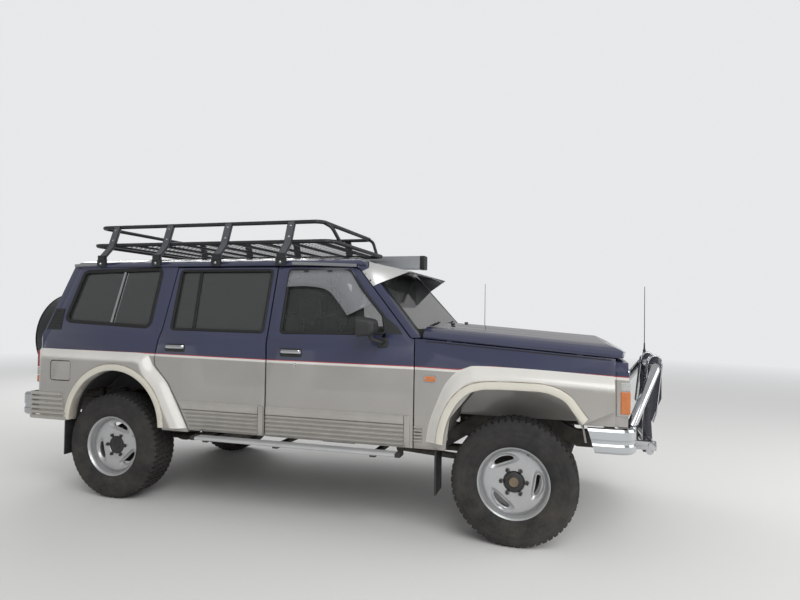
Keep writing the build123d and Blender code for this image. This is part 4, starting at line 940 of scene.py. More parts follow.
def buildWheels(s):
    bm = bmesh.new()
    addLathe(bm, tyreProfile(tyre), (0, 0, 0), (0, 1, 0), 112, closed=True)
    tyreMesh = bmeshToMesh("tyreBody", bm)
    pitch, face = treadMesh(tyre), rimFaceMesh(s)
    valve, nutPlace = math.radians(s["valve"]), (s["nutRadius"], 0, 0)
    valvePlace = (s["valveRadius"] * math.cos(valve), 0.062, s["valveRadius"] * math.sin(valve))
    barrel = turnedMesh("rimBarrel", [("barrel", (0, 0, 0), 96, True), ("valve", valvePlace, 12, False)])
    cap = turnedMesh("hubCap", [("cap", (0, 0, 0), 48, False)])
    dial = turnedMesh("hubDial", [("dial", (0, 0, 0), 36, False)], ((-0.0035, 0.074, -0.017), (0.0035, 0.0795, 0.017)))
    nut = turnedMesh("wheelNut", [("washer", nutPlace, 24, False), ("nut", nutPlace, 6, False)])
    for end, (x, y) in wheels.items():
        isFront = end == "front"
        grown = Matrix.Identity(4) if isFront else Matrix.Diagonal(s["rearCap"])
        for side, way in (("left", 1), ("right", -1)):
            body, tag = f"{end}_{side}_wheel", f"{end}{side.capitalize()}"
            flip, centre = Matrix.Diagonal((1, way, 1, 1)), (x, way * y, axleZ)
            spin = Matrix.Rotation(math.radians(0 if isFront else s["rearSpin"]) * way, 4, "Y")
            place = Matrix.Translation(centre) @ flip @ spin
            rows = (("Tyre", tyreMesh, place, "tyreRubber", 38, (f"{end}_{side}_tyre",), "tyre"),
                    ("Rim", face, place, "wheelAlloy", 30, (f"{end}_{side}_rim",), "alloy"),
                    ("Barrel", barrel, place, "wheelAlloy", 38, (), "alloy"),
                    ("HubCap", cap, place @ grown, "blackTrim", 38, (), "trim"),
                    ("HubDial", dial, place @ grown, "hubGrime" if isFront else "blackTrim", 38, (), "trim"))
            for label, mesh, matrix, finish, angle, replaces, slot in rows:
                wrap(tag + label, placedCopy(mesh, matrix, tag + label), finish, body, angle, replaces)
            repeated(f"{tag}Tread", placedCopy(pitch, flip, "tread"), "tyreRubber", body, tyre["pitches"],
                     turn=(0, 2 * math.pi / tyre["pitches"], 0), centre=centre, smoothAngle=25)
            repeated(f"{tag}Nuts", placedCopy(nut, flip, "nut"), "blackTrim", body, 6, turn=(0, math.pi / 3, 0),
                     centre=centre)
    print("wheels ready")


buildWheels(wheelParts)


# painted body panels
def pairBox(x, y, z):  # box in millimetres from the front axle, on both sides of the vehicle
    low, high = fromAxle(x[0], y[0], z[0]), fromAxle(x[1], y[1], z[1])
    return [(low, high), (Vector((low.x, -high.y, low.z)), Vector((high.x, -low.y, high.z)))]


def facesCabin(face):
    return math.copysign(1, face.center.y) * -face.normal.y > 0.6


def paintedCopy(node, name, body, width, drop=(), lining=None, flat=0.6):
    piece = roundedCopy(node, name, "bodyPaint", body, width, drop=drop, flat=flat)
    if lining:
        refinish(piece, lining, facesCabin)


doorDrops = {"moulding": ((-2400, -640), (895.4, 930), (540, 768)),
             "handle": ((-2560, -1400), (895.4, 930), (1120, 1165)),
             "mirror": ((-990, -800), (895.4, 1160), (1190, 1420)),
             "mirrorFoot": ((-880, -826), (870, 960), (1202, 1300))}
panelEdge = {"door": 0.004, "side": 0.003, "guard": 0.004, "bonnet": 0.006, "roof": 0.005, "tail": 0.003}


def buildPanels():
    drops = [box for spans in doorDrops.values() for box in pairBox(*spans)]
    for side in ("left", "right"):
        for end in ("front", "rear"):
            name = f"{end}{side.capitalize()}Door"
            paintedCopy(f"{end}_{side}_door", name, f"{end}_{side}_door", panelEdge["door"], drops, "dashPlastic")
        paintedCopy(f"body_{side}_side", f"{side}BodySide", "body", panelEdge["side"])
        paintedCopy(f"back_{side}_door", f"back{side.capitalize()}Door", f"back_{side}_door", panelEdge["door"])
    paintedCopy("bonnet", "bonnetPanel", "bonnet", panelEdge["bonnet"], flat=0.03)
    paintedCopy("roof_panel", "roofPanel", "body", panelEdge["roof"], flat=0.03)
    paintedCopy("tail_frame", "tailFrame", "body", panelEdge["tail"])
    ribs = pairBox((-640, -570), (895.4, 930), (590, 700))
    paintedCopy("front_guards", "frontGuards", "body", panelEdge["guard"], ribs)


buildPanels()
print("painted panels ready")


# arch flares
flareShape = {"skin": 0.895, "crest": 0.945, "lip": 0.9505, "lipWidth": 0.052, "back": 0.889,
              "arcSteps": 150, "slopeRows": 16,
              "frontOuter": ((-552, 602), (-540, 690), (-520, 765), (-489, 846), (-439, 963), (-375, 1042),
                             (-300, 1083), (-212, 1098), (152, 1089), (577, 1067)),
              "frontEnd": ((577, 782), (398, 782)),
              "frontArch": ((-433, 602), (-424, 680), (-400, 760), (-366, 832), (-326, 886), (-275, 928), (-210, 952),
                            (-150, 960), (-57, 963), (97, 963), (165, 960), (232, 945), (300, 908), (352, 842),
                            (398, 782)),
              "rearOuter": ((-2326, 566), (-2344, 600), (-2422, 742), (-2508, 888), (-2620, 1000), (-2662, 1072),
                            (-2720, 1094), (-3000, 1097), (-3702, 1104)),
              "rearEnd": ((-3702, 570), (-3336, 570)),
              "rearCentre": (-2935, 560), "rearRadius": 400}


def curveThrough(points, steps=8):  # Catmull-Rom line through the points
    points = [Vector(p) for p in points]
    made = []
    for i in range(len(points) - 1):
        a, b = points[i], points[i + 1]
        before = points[i - 1] if i else a * 2 - b
        after = points[i + 2] if i + 2 < len(points) else b * 2 - a
        for k in range(steps):
            t = k / steps
            made.append(0.5 * (2 * a + (b - before) * t + (2 * before - 5 * a + 4 * b - after) * t * t
                               + (3 * a - before - 3 * b + after) * t ** 3))
    return made + [points[-1]]


def evenPoints(line, count):  # count points at even steps along a line
    lengths = [0.0]
    for a, b in zip(line, line[1:]):
        lengths.append(lengths[-1] + (b - a).length)
    made, i = [], 0
    for k in range(count):
        goal = lengths[-1] * k / (count - 1)
        while i < len(line) - 2 and lengths[i + 1] < goal:
            i += 1
        share = (goal - lengths[i]) / max(1e-9, lengths[i + 1] - lengths[i])
        made.append(line[i].lerp(line[i + 1], min(1.0, share)))
    return made


def distanceTo(line, p):
    best = 1e9
    for a, b in zip(line, line[1:]):
        way = b - a
        t = min(1.0, max(0.0, (p - a).dot(way) / max(1e-12, way.dot(way))))
        best = min(best, (a + way * t - p).length)
    return best


def toSide(points):
    return [Vector(((x / 1000) + axleX, z / 1000)) for x, z in points]


def tailLimit(x):  # half width of the flare where the tail's corner is rounded
    centre, radius = -3.569 + axleX, 0.133
    away = centre - x
    return 0.825 + math.sqrt(max(0.0, radius ** 2 - away ** 2)) if away > 0 else 0.958


def flareMesh(shape, end, side):
    outer = curveThrough(toSide(shape[f"{end}Outer"]), 6)
    if end == "front":
        arch = curveThrough(toSide(shape["frontArch"]), 6)
        full = outer + evenPoints(toSide(((577, 1067),) + shape["frontEnd"]), 40)[1:]
    else:
        cx, cz = toSide((shape["rearCentre"],))[0]
        radius = shape["rearRadius"] / 1000
        arch = [Vector((cx + radius * math.cos(math.radians(a)), cz + radius * math.sin(math.radians(a))))
                for a in [0.9 + 177.6 * k / 90 for k in range(91)]]
        full = outer + evenPoints(toSide(((-3702, 1104),) + shape["rearEnd"]), 60)[1:]
    archPoints = evenPoints(arch, shape["arcSteps"])
    middle = sum(archPoints, Vector((0, 0))) / len(archPoints)
    # each arch point is joined to a point of the outer edge in the same order round the arch
    outerPoints = []
    place = 0
    fine = evenPoints(full, 900)
    foot = Vector((middle.x, archPoints[0].y - 0.02))
    for p in archPoints:
        way = (p - foot).normalized()
        best, bestDot = place, -2
        for i in range(place, min(len(fine), place + 220)):
            dot = (fine[i] - foot).normalized().dot(way)
            if dot > bestDot:
                best, bestDot = i, dot
        place = best
        outerPoints.append(fine[place])
    outerPoints[0], outerPoints[-1] = full[0], full[-1]
    bm = bmesh.new()
    pale = bm.verts.layers.float.new("pale")
    seam = bm.verts.layers.float.new("seam")
    rings = []
    for i, (a, b) in enumerate(zip(archPoints, outerPoints)):
        before, after = archPoints[max(i - 1, 0)], archPoints[min(i + 1, len(archPoints) - 1)]
        along = (after - before).normalized()
        away = Vector((-along.y, along.x))
        if away.dot(a - foot) < 0:
            away = -away
        width = min(shape["lipWidth"], (b - a).length * 0.6)
        lipEdge = a + away * width
        if (b - lipEdge).length < 0.004 or (b - a).length < 0.06:
            lipEdge = a.lerp(b, 0.9)
        ring = []

        def put(p, y, paleness, dirt=0.0):
            y = min(y, tailLimit(p.x) - 0.006) if end == "rear" else y
            v = bm.verts.new((p.x, side * y, p.y))
            v[pale], v[seam] = paleness, dirt
            ring.append(v)

        put(b, shape["back"] - 0.002, 0.5)
        rows = shape["slopeRows"]
        for k in range(rows + 1):
            p = b.lerp(lipEdge, k / rows)
            slope = slopeWidth(end, p)
            u = min(1.0, distanceTo(outer, p) / slope)
            height = shape["skin"] + 0.0006 + (shape["crest"] - shape["skin"]) * math.sin(u * math.pi / 2) ** 1.15
            # the shoulder that slopes up from the skin gets paleness 1, a painted sky reflection; the outward band
            # past it gets 0
            put(p, height, 1.0 - max(0.0, min(1.0, (distanceTo(outer, p) - slope * 0.92) / 0.018)))
        drop = lipEdge.lerp(a, 0.05)
        put(lipEdge.lerp(a, 0.02), shape["crest"] - 0.0035, 1.4, 1.0)
        put(drop, shape["crest"] - 0.0035, 1.4, 1.0)
        put(lipEdge.lerp(a, 0.09), shape["lip"] - 0.002, 1.4, 0.4)
        put(lipEdge.lerp(a, 0.16), shape["lip"], 1.4)
        put(lipEdge.lerp(a, 0.55), shape["lip"] + 0.0008, 1.4)
        put(lipEdge.lerp(a, 0.90), shape["lip"] - 0.0006, 1.4)
        put(lipEdge.lerp(a, 0.98), shape["lip"] - 0.004, 1.4)
        put(a, shape["lip"] - 0.010, 1.4, 0.3)
        put(a, shape["back"], 1.0, 0.8)
        rings.append(ring)
    skinOver(bm, rings)
    bmesh.ops.recalc_face_normals(bm, faces=bm.faces)
    mesh = bpy.data.meshes.new(f"{end}Flare")
    bm.to_mesh(mesh)
    bm.free()
    return mesh


def slopeWidth(end, p):  # width of the sloping shoulder beside a point
    if end == "front":
        return 0.098 if p.x < axleX - 0.30 else 0.098 - 0.020 * min(1.0, (p.x - axleX + 0.30) / 0.3)
    forward = min(1.0, max(0.0, (p.x - axleX + 2.76) / 0.14))
    return 0.060 + 0.030 * forward


def roundedPrism(centre, size, radius, depth, side):  # rounded rectangle in side view, between two |y|
    bm = bmesh.new()
    ring = roundedRing(centre, size, radius)
    skinOver(bm, [[bm.verts.new((x, side * y, z)) for x, z in ring] for y in depth])
    return bm


fuelFlap = {"centre": (-3426.5, 941.5), "size": (0.183, 0.145), "corner": 0.020, "gap": 0.0060,
            "cut": (0.880, 0.99), "panel": (0.9385, 0.945)}


# slope is the pale colour painted on the flares' sloping shoulder as a reflection of the bright sky
flareTones = {"plain": (0.74, 0.72, 0.67), "slope": (0.74, 0.725, 0.685), "lip": (0.72, 0.69, 0.60),
              "dust": (0.40, 0.35, 0.27), "rust": (0.20, 0.12, 0.06)}


def buildFlareBlend():  # silver at the edge on the skin, pale on the slope as a painted reflection of the bright sky on the upward shoulder, warm white on the lip
    w, shader, place = startFinish("flareBlend", flareTones["plain"], 0.36, **coat(0.8, 0.10))
    pale = w.add("ShaderNodeAttribute", attribute_name="pale").outputs["Fac"]
    seam = w.add("ShaderNodeAttribute", attribute_name="seam").outputs["Fac"]
    # painted sky reflection: pale where the attribute marks the sloping shoulder
    color = w.mixed(w.range(pale, 0.0, 1.0), paint["silver"], flareTones["slope"])
    color = w.mixed(w.range(pale, 1.0, 1.4), color, flareTones["lip"])
    drift = w.range(w.noise(place, 4.0, 4.0), 0.3, 0.7, 0.95, 1.05)
    color = w.scaled(color, drift)
    grime = useGroup(w, "dust", Place=place, Low=0.52, High=1.05, Amount=0.30, Scale=7.0)["Mask"]
    color = w.mixed(grime, color, flareTones["dust"])
    streak = w.times(seam, w.range(w.noise(place, 16.0, 5.0), 0.30, 0.55), clamp=True)
    color = w.mixed(w.times(streak, 0.8), color, flareTones["rust"])
    w.fill(shader, {"Base Color": color})
    metal = w.times(w.minus(1.0, w.range(pale, 0.0, 1.0)), 0.35)
    w.fill(shader, {"Metallic": metal, "Roughness": w.plus(0.32, w.times(grime, 0.5), clamp=True)})


def buildFlares():
    first = ("arch_flares",)
    centre = toSide((fuelFlap["centre"],))[0]
    for end in ("front", "rear"):
        for side, way in bothSides:
            piece = wrap(f"{end}{side}Flare", flareMesh(flareShape, end, way), "flareBlend", smoothAngle=None)
            if end == "rear" and way < 0:
                grown = [v + 2 * fuelFlap["gap"] for v in fuelFlap["size"]]
                corner = fuelFlap["corner"] + fuelFlap["gap"]
                cutAway(piece, roundedPrism(centre, grown, corner, fuelFlap["cut"], way))
            resharp(piece, 40)
            carried(piece, "body", first)
            first = ()


def buildFuelFlap():
    flap = roundedPrism(toSide((fuelFlap["centre"],))[0], fuelFlap["size"], fuelFlap["corner"], fuelFlap["panel"], -1)
    piece = wrap("fuelFlapPanel", flap, "bodyPaint", smoothAngle=None)
    soften(piece, 0.0025)
    carried(piece, "fuel_flap", ("fuel_flap",))
    lock = bmesh.new()
    addLathe(lock, [(0, 0), (0, 0.008), (0.0025, 0.0075), (0.003, 0.006), (0.002, 0.004), (0.002, 0)],
             fromAxle(-3497, -944.6, 948), (0, -1, 0), 20)
    addLathe(lock, [(-0.004, 0), (-0.004, 0.0035), (0.0766, 0.0035), (0.0766, 0)],
             fromAxle(-3339, -940, 905), (0, 0, 1), 12)
    wrap("fuelFlapLock", lock, "chrome", "fuel_flap")


buildFlareBlend()
buildFlares()
buildFuelFlap()
print("arch flares and fuel flap ready")


# side trim: mouldings, handles, windows, mirrors
moulding = {"topZ": 0.762, "bandLow": 0.703, "ribLow": 0.558, "ribs": 5, "proud": 0.013,
            "skin": 0.894, "endY": (0.8935, 0.9065)}


def edgeX(points, z):  # x of a leaning line at a height, from (x, z) points in millimetres
    rows = sorted(points, key=lambda row: row[1])
    z = z * 1000
    for (x0, z0), (x1, z1) in zip(rows, rows[1:]):
        if z <= z1 or (x1, z1) == rows[-1]:
            return (x0 + (x1 - x0) * (z - z0) / (z1 - z0)) / 1000 + axleX


rearDoorEdge = ((-2299, 538), (-2405, 745), (-2490, 885), (-2589, 1189))
runs = {"front": (lambda z: -1.690 + axleX, lambda z: -0.700 + axleX),
        "rear": (lambda z: edgeX(rearDoorEdge, z) + 0.024, lambda z: -1.752 + axleX)}
quarterEdge = ((-3345, 560), (-3362, 640), (-3400, 780))
# top, pitch, height and number of the ribs, how far they stand out from the doors, and their ends at a height
ribBands = {"guard": (0.7000, 0.0215, 0.0185, 5, 0, lambda z: (-0.632 + axleX, -0.578 + axleX)),
            "quarter": (0.774, 0.036, 0.031, 6, 0.0505, lambda z: (-3.698 + axleX, edgeX(quarterEdge, z) - 0.008))}
endPanels = {"front": (-0.697 + axleX, -0.658 + axleX), "rear": (-1.749 + axleX, -1.710 + axleX)}


def bandProfile(s):
    skin = s["skin"]
    return [(skin, s["topZ"]), (skin + 0.004, s["topZ"] + 0.001), (skin + 0.0105, s["topZ"] - 0.006),
            (skin + s["proud"], s["topZ"] - 0.016), (skin + s["proud"], s["bandLow"] + 0.010),
            (skin + 0.011, s["bandLow"] + 0.003), (skin + 0.006, s["bandLow"]), (skin, s["bandLow"])]


def ribProfile(s, top, height):
    skin = s["skin"]
    low = top - height
    return [(skin, top), (skin + 0.005, top - 0.001), (skin + 0.011, top - 0.005), (skin + 0.0125, top - 0.010),
            (skin + 0.011, low + 0.010), (skin + 0.0045, low + 0.002), (skin, low)]


def buildMouldings(s):
    pitch = (s["bandLow"] - s["ribLow"]) / s["ribs"]
    for side, way in bothSides:
        for end in ("front", "rear"):
            low, high = runs[end]
            span = lambda z: (low(z), high(z))
            bm = bmesh.new()
            addProfileRun(bm, bandProfile(s), span, way)
            for k in range(s["ribs"]):
                addProfileRun(bm, ribProfile(s, s["bandLow"] - pitch * k - 0.0015, pitch - 0.003), span, way)
            x0, x1 = endPanels[end]
            y0, y1 = sorted(way * y for y in s["endY"])
            addBlock(bm, (x0, y0, s["ribLow"]), (x1, y1, s["topZ"]))
            wrap(f"{end}{side}Moulding", bm, "mouldingSilver", f"{end}_{side.lower()}_door", smoothAngle=28)
        for label, (top, pitchZ, tall, count, out, span) in ribBands.items():
            bm = bmesh.new()
            for k in range(count):
                rows = [(y + out, z) for y, z in ribProfile(s, top - pitchZ * k, tall)]
                addProfileRun(bm, rows, span, way)
            wrap(f"{label}{side}Ribs", bm, "mouldingSilver", "body", smoothAngle=28)


def buildMouldingSilver():
    w, shader, place = startFinish("mouldingSilver", paint["silver"], 0.34, 0.35, **coat(0.8, 0.1))
    tone = w.range(w.noise(place, 6.0, 4.0), 0.3, 0.7, 0.95, 1.07)
    color = w.scaled((0.46, 0.445, 0.415), tone)
    grime = useGroup(w, "dust", Place=place, Low=0.50, High=0.86, Amount=0.55, Scale=5.0)["Mask"]
    color = w.mixed(grime, color, (0.33, 0.29, 0.22))
    w.fill(shader, {"Base Color": color, "Roughness": w.plus(0.30, w.times(grime, 0.45), clamp=True)})


buildMouldingSilver()
buildMouldings(moulding)
print("side mouldings ready")


handles = {"front": (-1.511, 1.140), "rear": (-2.440, 1.145), "length": 0.150, "barSkin": 0.900, "barOut": 0.9125,
           "pads": ((-0.002, (0.170, 0.060), 0.8965, 0.012),  # lower by, size, outer |y|, corner
                    (-0.012, (0.150, 0.030), 0.8985, 0.010)),
           "padSkin": 0.8935, "lock": (0.035, 1.055)}
marker = {"place": (-0.529, 1.003), "Rim": ((0.082, 0.046), (0.8935, 0.9000), 0.010, "chrome", "chrome"),
          "Lens": ((0.070, 0.034), (0.8985, 0.9045), 0.008, "orangeLens", "lamp")}
lockHead = [(0, 0), (0, 0.012), (0.0025, 0.0115), (0.0035, 0.0095), (0.0020, 0.0075), (0.0020, 0)]


def addPad(bm, centre, size, way, depth, corner):  # rounded flat block on a side panel, centre (x, z)
    rings = []
    for inset, y in ((0, depth[0]), (0, depth[1] - 0.0025), (0.0025, depth[1])):
        inner = [length - 2 * inset for length in size]
        ring = roundedRing(centre, inner, max(0.0005, corner - inset))
        rings.append([bm.verts.new((x, way * y, z)) for x, z in ring])
    skinOver(bm, rings)


def buildHandles(s):
    for side, way in bothSides:
        for end in ("front", "rear"):
            x, z = s[end]
            x += axleX
            body = f"{end}_{side.lower()}_door"
            bm = bmesh.new()
            for lower, size, out, corner in s["pads"]:
                addPad(bm, (x, z + lower), size, way, (s["padSkin"], out), corner)
            wrap(f"{end}{side}HandleCup", bm, "blackTrim", body)
            bm = bmesh.new()
            half, skin, out = s["length"] / 2, way * s["barSkin"], way * s["barOut"]
            z += 0.006
            path = [(x - half, skin, z), (x - half + 0.012, out, z), (x + half - 0.012, out, z), (x + half, skin, z)]
            addSweep(bm, roundedPath(path, 0.018, 5), circleSection(0.0048, 14, 2.6))
            wrap(f"{end}{side}Handle", bm, "chrome", body)
            if end == "front":
                bm = bmesh.new()
                addLathe(bm, lockHead, (x + s["lock"][0], way * 0.8945, s["lock"][1]), (0, way, 0), 24)
                wrap(f"{end}{side}Lock", bm, "chrome", body)
        x, z = marker["place"]
        for label in ("Rim", "Lens"):
            size, depth, corner, finish, slot = marker[label]
            bm = bmesh.new()
            addPad(bm, (x + axleX, z), size, way, depth, corner)
            wrap(f"marker{side}{label}", bm, finish, "body")


buildHandles(handles)


frontWindow = ((-1605, 1272), (-838, 1282), (-868, 1400), (-1030, 1575), (-1140, 1712), (-1605, 1720))
rearWindow = ((-1740, 1272), (-1740, 1718), (-2507, 1718), (-2497, 1277))
quarterWindow = ((-2685, 1287), (-2682, 1735), (-3410, 1715), (-3478, 1319))


def onSkin(x, z, way, proud=0.0):  # a point on the leaning side from millimetres
    return Vector((x / 1000 + axleX, way * (skinY(z / 1000) + proud), z / 1000))


def sideNormal(way):
    lean = Vector((0, way, leanPerMetre))
    return lean.normalized()


def windowLoop(bm, outline, way, radius, section, proud, inset=0.0):
    middle = Vector((sum(p[0] for p in outline) / len(outline), sum(p[1] for p in outline) / len(outline)))
    points = []
    for x, z in outline:
        away = Vector((x, z)) - middle
        moved = Vector((x, z)) - Vector((math.copysign(inset, away.x), math.copysign(inset, away.y)))
        points.append(onSkin(moved.x, moved.y, way, proud))
    path = roundedPath(points, radius, 7, closed=True)
    addSweep(bm, path, section, closed=True, up=sideNormal(way))


rubberSection = [(-0.0085, -0.004), (-0.0085, 0.002), (-0.006, 0.0045), (0.006, 0.0045), (0.0085, 0.002),
                 (0.0085, -0.004)]


dividerSections = {"rear": [(a * 1.25, b * 1.3) for a, b in rubberSection],
                   "quarter": [(-0.0075, -0.003), (-0.0075, 0.003), (0.0075, 0.003), (0.0075, -0.003)]}
ventPanel = {"corners": [(-3499, 1252), (-3508, 1416), (-3598, 1416), (-3634, 1252)], "blades": 6, "lowest": 1276,
             "pitch": 24, "front": -3512, "back": -3620, "lean": 4.1,
             "blade": [(-0.0035, -0.002), (-0.001, 0.0025), (0.0035, 0.001), (0.0035, -0.002)]}


def buildWindowTrim():
    for side, way in bothSides:
        rearDoor = f"rear_{side.lower()}_door"
        # outline, body, corner radius and how much wider the rubber is
        for end, outline, body, radius, width in (("front", frontWindow, f"front_{side.lower()}_door", 0.022, 1.15),
                                                  ("rear", rearWindow, rearDoor, 0.022, 1.15),
                                                  ("quarter", quarterWindow, "body", 0.045, 1.6)):
            bm = bmesh.new()
            windowLoop(bm, outline, way, radius, [(a * width, b) for a, b in rubberSection], 0.0008, 2)
            wrap(f"{end}{side}WindowRubber", bm, "sealRubber", body, smoothAngle=50)
        # upright bars that part the rear door's window and the quarter window
        for end, low, high, sunk, finish, body, slot in (
                ("rear", (-2311, 1276), (-2340, 1716), -0.010, "sealRubber", rearDoor, "rubber"),
                ("quarter", (-3045, 1298), (-3023, 1722), -0.004, "chrome", "body", "chrome")):
            bm = bmesh.new()
            ends = [onSkin(x, z, way, sunk) for x, z in (low, high)]
            addSweep(bm, ends, dividerSections[end], up=sideNormal(way))
            wrap(f"{end}{side}Divider", bm, finish, body)
        buildVentPanel(ventPanel, side, way)


def buildVentPanel(s, side, way):  # black louvre panel behind the quarter window
    bm = bmesh.new()
    addPlate(bm, s["corners"], lambda p: onSkin(*p, way, 0.0035), lambda p: onSkin(*p, way, -0.002))
    bmesh.ops.bevel(bm, geom=bm.edges[:], offset=0.002, segments=2, affect="EDGES")
    for k in range(s["blades"]):
        z = s["lowest"] + s["pitch"] * k
        ends = [onSkin(x, z, way, 0.0045) for x in (s["front"], s["back"] + s["lean"] * k)]
        addSweep(bm, ends, s["blade"], up=sideNormal(way))
    wrap(f"vent{side}Panel", bm, "blackTrim", "body", smoothAngle=30)


buildWindowTrim()
print("handles, markers and window trim ready")


mirror = {"x": (-0.965, -0.858), "y": (0.930, 1.104), "z": (1.266, 1.394), "rim": 0.010,
          "frontWide": 0.80, "frontTall": 0.74, "foot": (-850, 1225),
          "patch": [(-830, 1283), (-858, 1398), (-760, 1330), (-722, 1283)]}  # black corner ahead of the window


def buildMirrors(s):
    for side, way in bothSides:
        body = f"front_{side.lower()}_door"
        x0, x1 = (v + axleX for v in s["x"])
        y0, y1 = s["y"]
        z0, z1 = s["z"]
        bm = bmesh.new()
        middle = Vector(((x0 + x1) / 2, way * (y0 + y1) / 2, (z0 + z1) / 2))
        half = Vector((x1 - x0, y1 - y0, z1 - z0)) / 2
        addBlock(bm, middle - half, middle + half, 0)
        for v in bm.verts:
            if v.co.x > middle.x:  # the front of the shell is smaller and rounder
                v.co.y = middle.y + (v.co.y - middle.y) * s["frontWide"]
                v.co.z = middle.z + (v.co.z - middle.z) * s["frontTall"]
        front = [e for e in bm.edges if any(v.co.x > middle.x for v in e.verts)]
        bmesh.ops.bevel(bm, geom=front, offset=0.030, segments=6, profile=0.5, affect="EDGES", clamp_overlap=True)
        wrap(f"mirror{side}Shell", bm, "blackTrim", body, smoothAngle=45)
        bm = bmesh.new()
        low, high = sorted((way * (y0 + s["rim"]), way * (y1 - s["rim"])))
        addBlock(bm, (x0 - 0.0015, low, z0 + s["rim"]), (x0 + 0.004, high, z1 - s["rim"]), 0.006, 3)
        wrap(f"mirror{side}Glass", bm, "mirrorFace", body)
        bm = bmesh.new()
        foot = onSkin(*s["foot"], way, 0.002)
        path = [foot, foot + Vector((-0.004, way * 0.055, 0.004)), Vector((middle.x + 0.014, way * 1.000, 1.252)),
                Vector((middle.x + 0.010, way * 1.006, 1.285))]
        addSweep(bm, roundedPath(path, 0.03, 6), circleSection(0.016, 14, 0.8))
        low, high = sorted((foot.y - way * 0.012, foot.y + way * 0.010))
        addBlock(bm, (foot.x - 0.040, low, 1.190), (foot.x + 0.034, high, 1.258), 0.009, 3)
        wrap(f"mirror{side}Arm", bm, "blackTrim", body)
        bm = bmesh.new()
        addPlate(bm, s["patch"], lambda p: onSkin(*p, way, 0.0022), lambda p: onSkin(*p, way, -0.010))
        wrap(f"mirror{side}Patch", bm, "blackTrim", body)


buildMirrors(mirror)


# bright strips on the drip rails
gutter = {"BrightFront": ((-1585, 1765), (-1095, 1745)), "BrightRear": ((-3510, 1762), (-3292, 1771))}
gutterY = 0.7455
gutterSection = [(-0.006, -0.009), (-0.006, 0.009), (-0.003, 0.0115), (0.004, 0.0115), (0.006, 0.009),
                 (0.006, -0.009)]


def buildGutters(strips):
    for side, way in bothSides:
        for label, rows in strips.items():
            bm = bmesh.new()
            addSweep(bm, [fromAxle(x, way * gutterY * 1000, z) for x, z in rows], gutterSection)
            wrap(f"gutter{side}{label}", bm, "chrome", "body")


buildGutters(gutter)
print("mirrors and drip rails ready")


# front end: grille, lamps, bumper, bull bar
grille = {"x": 0.655, "half": 0.485, "lowZ": 0.838, "highZ": 1.096, "slats": 11, "uprights": 7, "uprightStep": 0.135}
rimSection = [(-0.008, -0.007), (-0.008, 0.005), (-0.004, 0.010), (0.004, 0.010), (0.008, 0.005), (0.008, -0.007)]
headLamp = {"y": (0.505, 0.770), "steps": 14, "bulge": 0.013, "middleZ": 0.967, "halfZ": 0.125,
            "rim": [(-0.007, -0.006), (-0.007, 0.006), (-0.003, 0.010), (0.004, 0.010), (0.007, 0.005),
                    (0.007, -0.006)]}
cornerLamp = {"panelX": (0.589, 0.660), "panelY": (0.792, 0.8940), "panelZ": (0.836, 1.094),
              "x": (0.611, 0.668), "y": (0.796, 0.8975),
              "rows": (("Clear", "clearLens", 0.984, 1.034), ("Orange", "orangeLens", 0.848, 0.981))}
tailLamp = {"y": (0.790, 0.885), "deep": 0.020,
            "rows": (("Red", "redLens", 0.955, 1.085), ("Clear", "clearLens", 0.893, 0.950),
                     ("Orange", "orangeLens", 0.835, 0.888))}


def blockPiece(name, blocks, finish, body, bevel=0.004, segments=2):
    bm = bmesh.new()
    for low, high in blocks:
        spans = [sorted(pair) for pair in zip(low, high)]
        addBlock(bm, [a for a, b in spans], [b for a, b in spans], bevel, segments)
    return wrap(name, bm, finish, body, smoothAngle=35)


def addFrame(bm, x, y0, y1, z0, z1, corner, section):  # bright rim round an opening in the front
    corners = [(x, y0, z0), (x, y1, z0), (x, y1, z1), (x, y0, z1)]
    addSweep(bm, roundedPath(corners, corner, 5, closed=True), section, closed=True, up=(1, 0, 0))


def buildGrille(s):
    x = s["x"] + axleX
    panel = roundedCopy("front_panel", "frontPanel", "blackTrim", "body")
    refinish(panel, "bodyPaint", lambda face: abs(face.center.y) > 0.780 or face.center.z > 1.108)
    bm = bmesh.new()
    addBlock(bm, (x + 0.016, -s["half"] + 0.012, 0), (x + 0.024, s["half"] - 0.012, 0.0065), 0.0022, 2)
    step = (s["highZ"] - s["lowZ"] - 0.04) / s["slats"]
    repeated("grilleSlats", bm, "darkPlate", "body", s["slats"] + 1, (0, 0, step), centre=(0, 0, s["lowZ"] + 0.018))
    bm = bmesh.new()
    addBlock(bm, (x + 0.010, -0.0035, s["lowZ"] + 0.012), (x + 0.0225, 0.0035, s["highZ"] - 0.012), 0.0015, 2)
    first = -s["uprightStep"] * (s["uprights"] - 1) / 2
    repeated("grilleUprights", bm, "darkPlate", "body", s["uprights"], (0, s["uprightStep"], 0),
             centre=(0.001, first, 0))
    bm = bmesh.new()
    addFrame(bm, x + 0.016, -s["half"], s["half"], s["lowZ"], s["highZ"], 0.018, rimSection)
    wrap("grilleRim", bm, "chrome", "body")


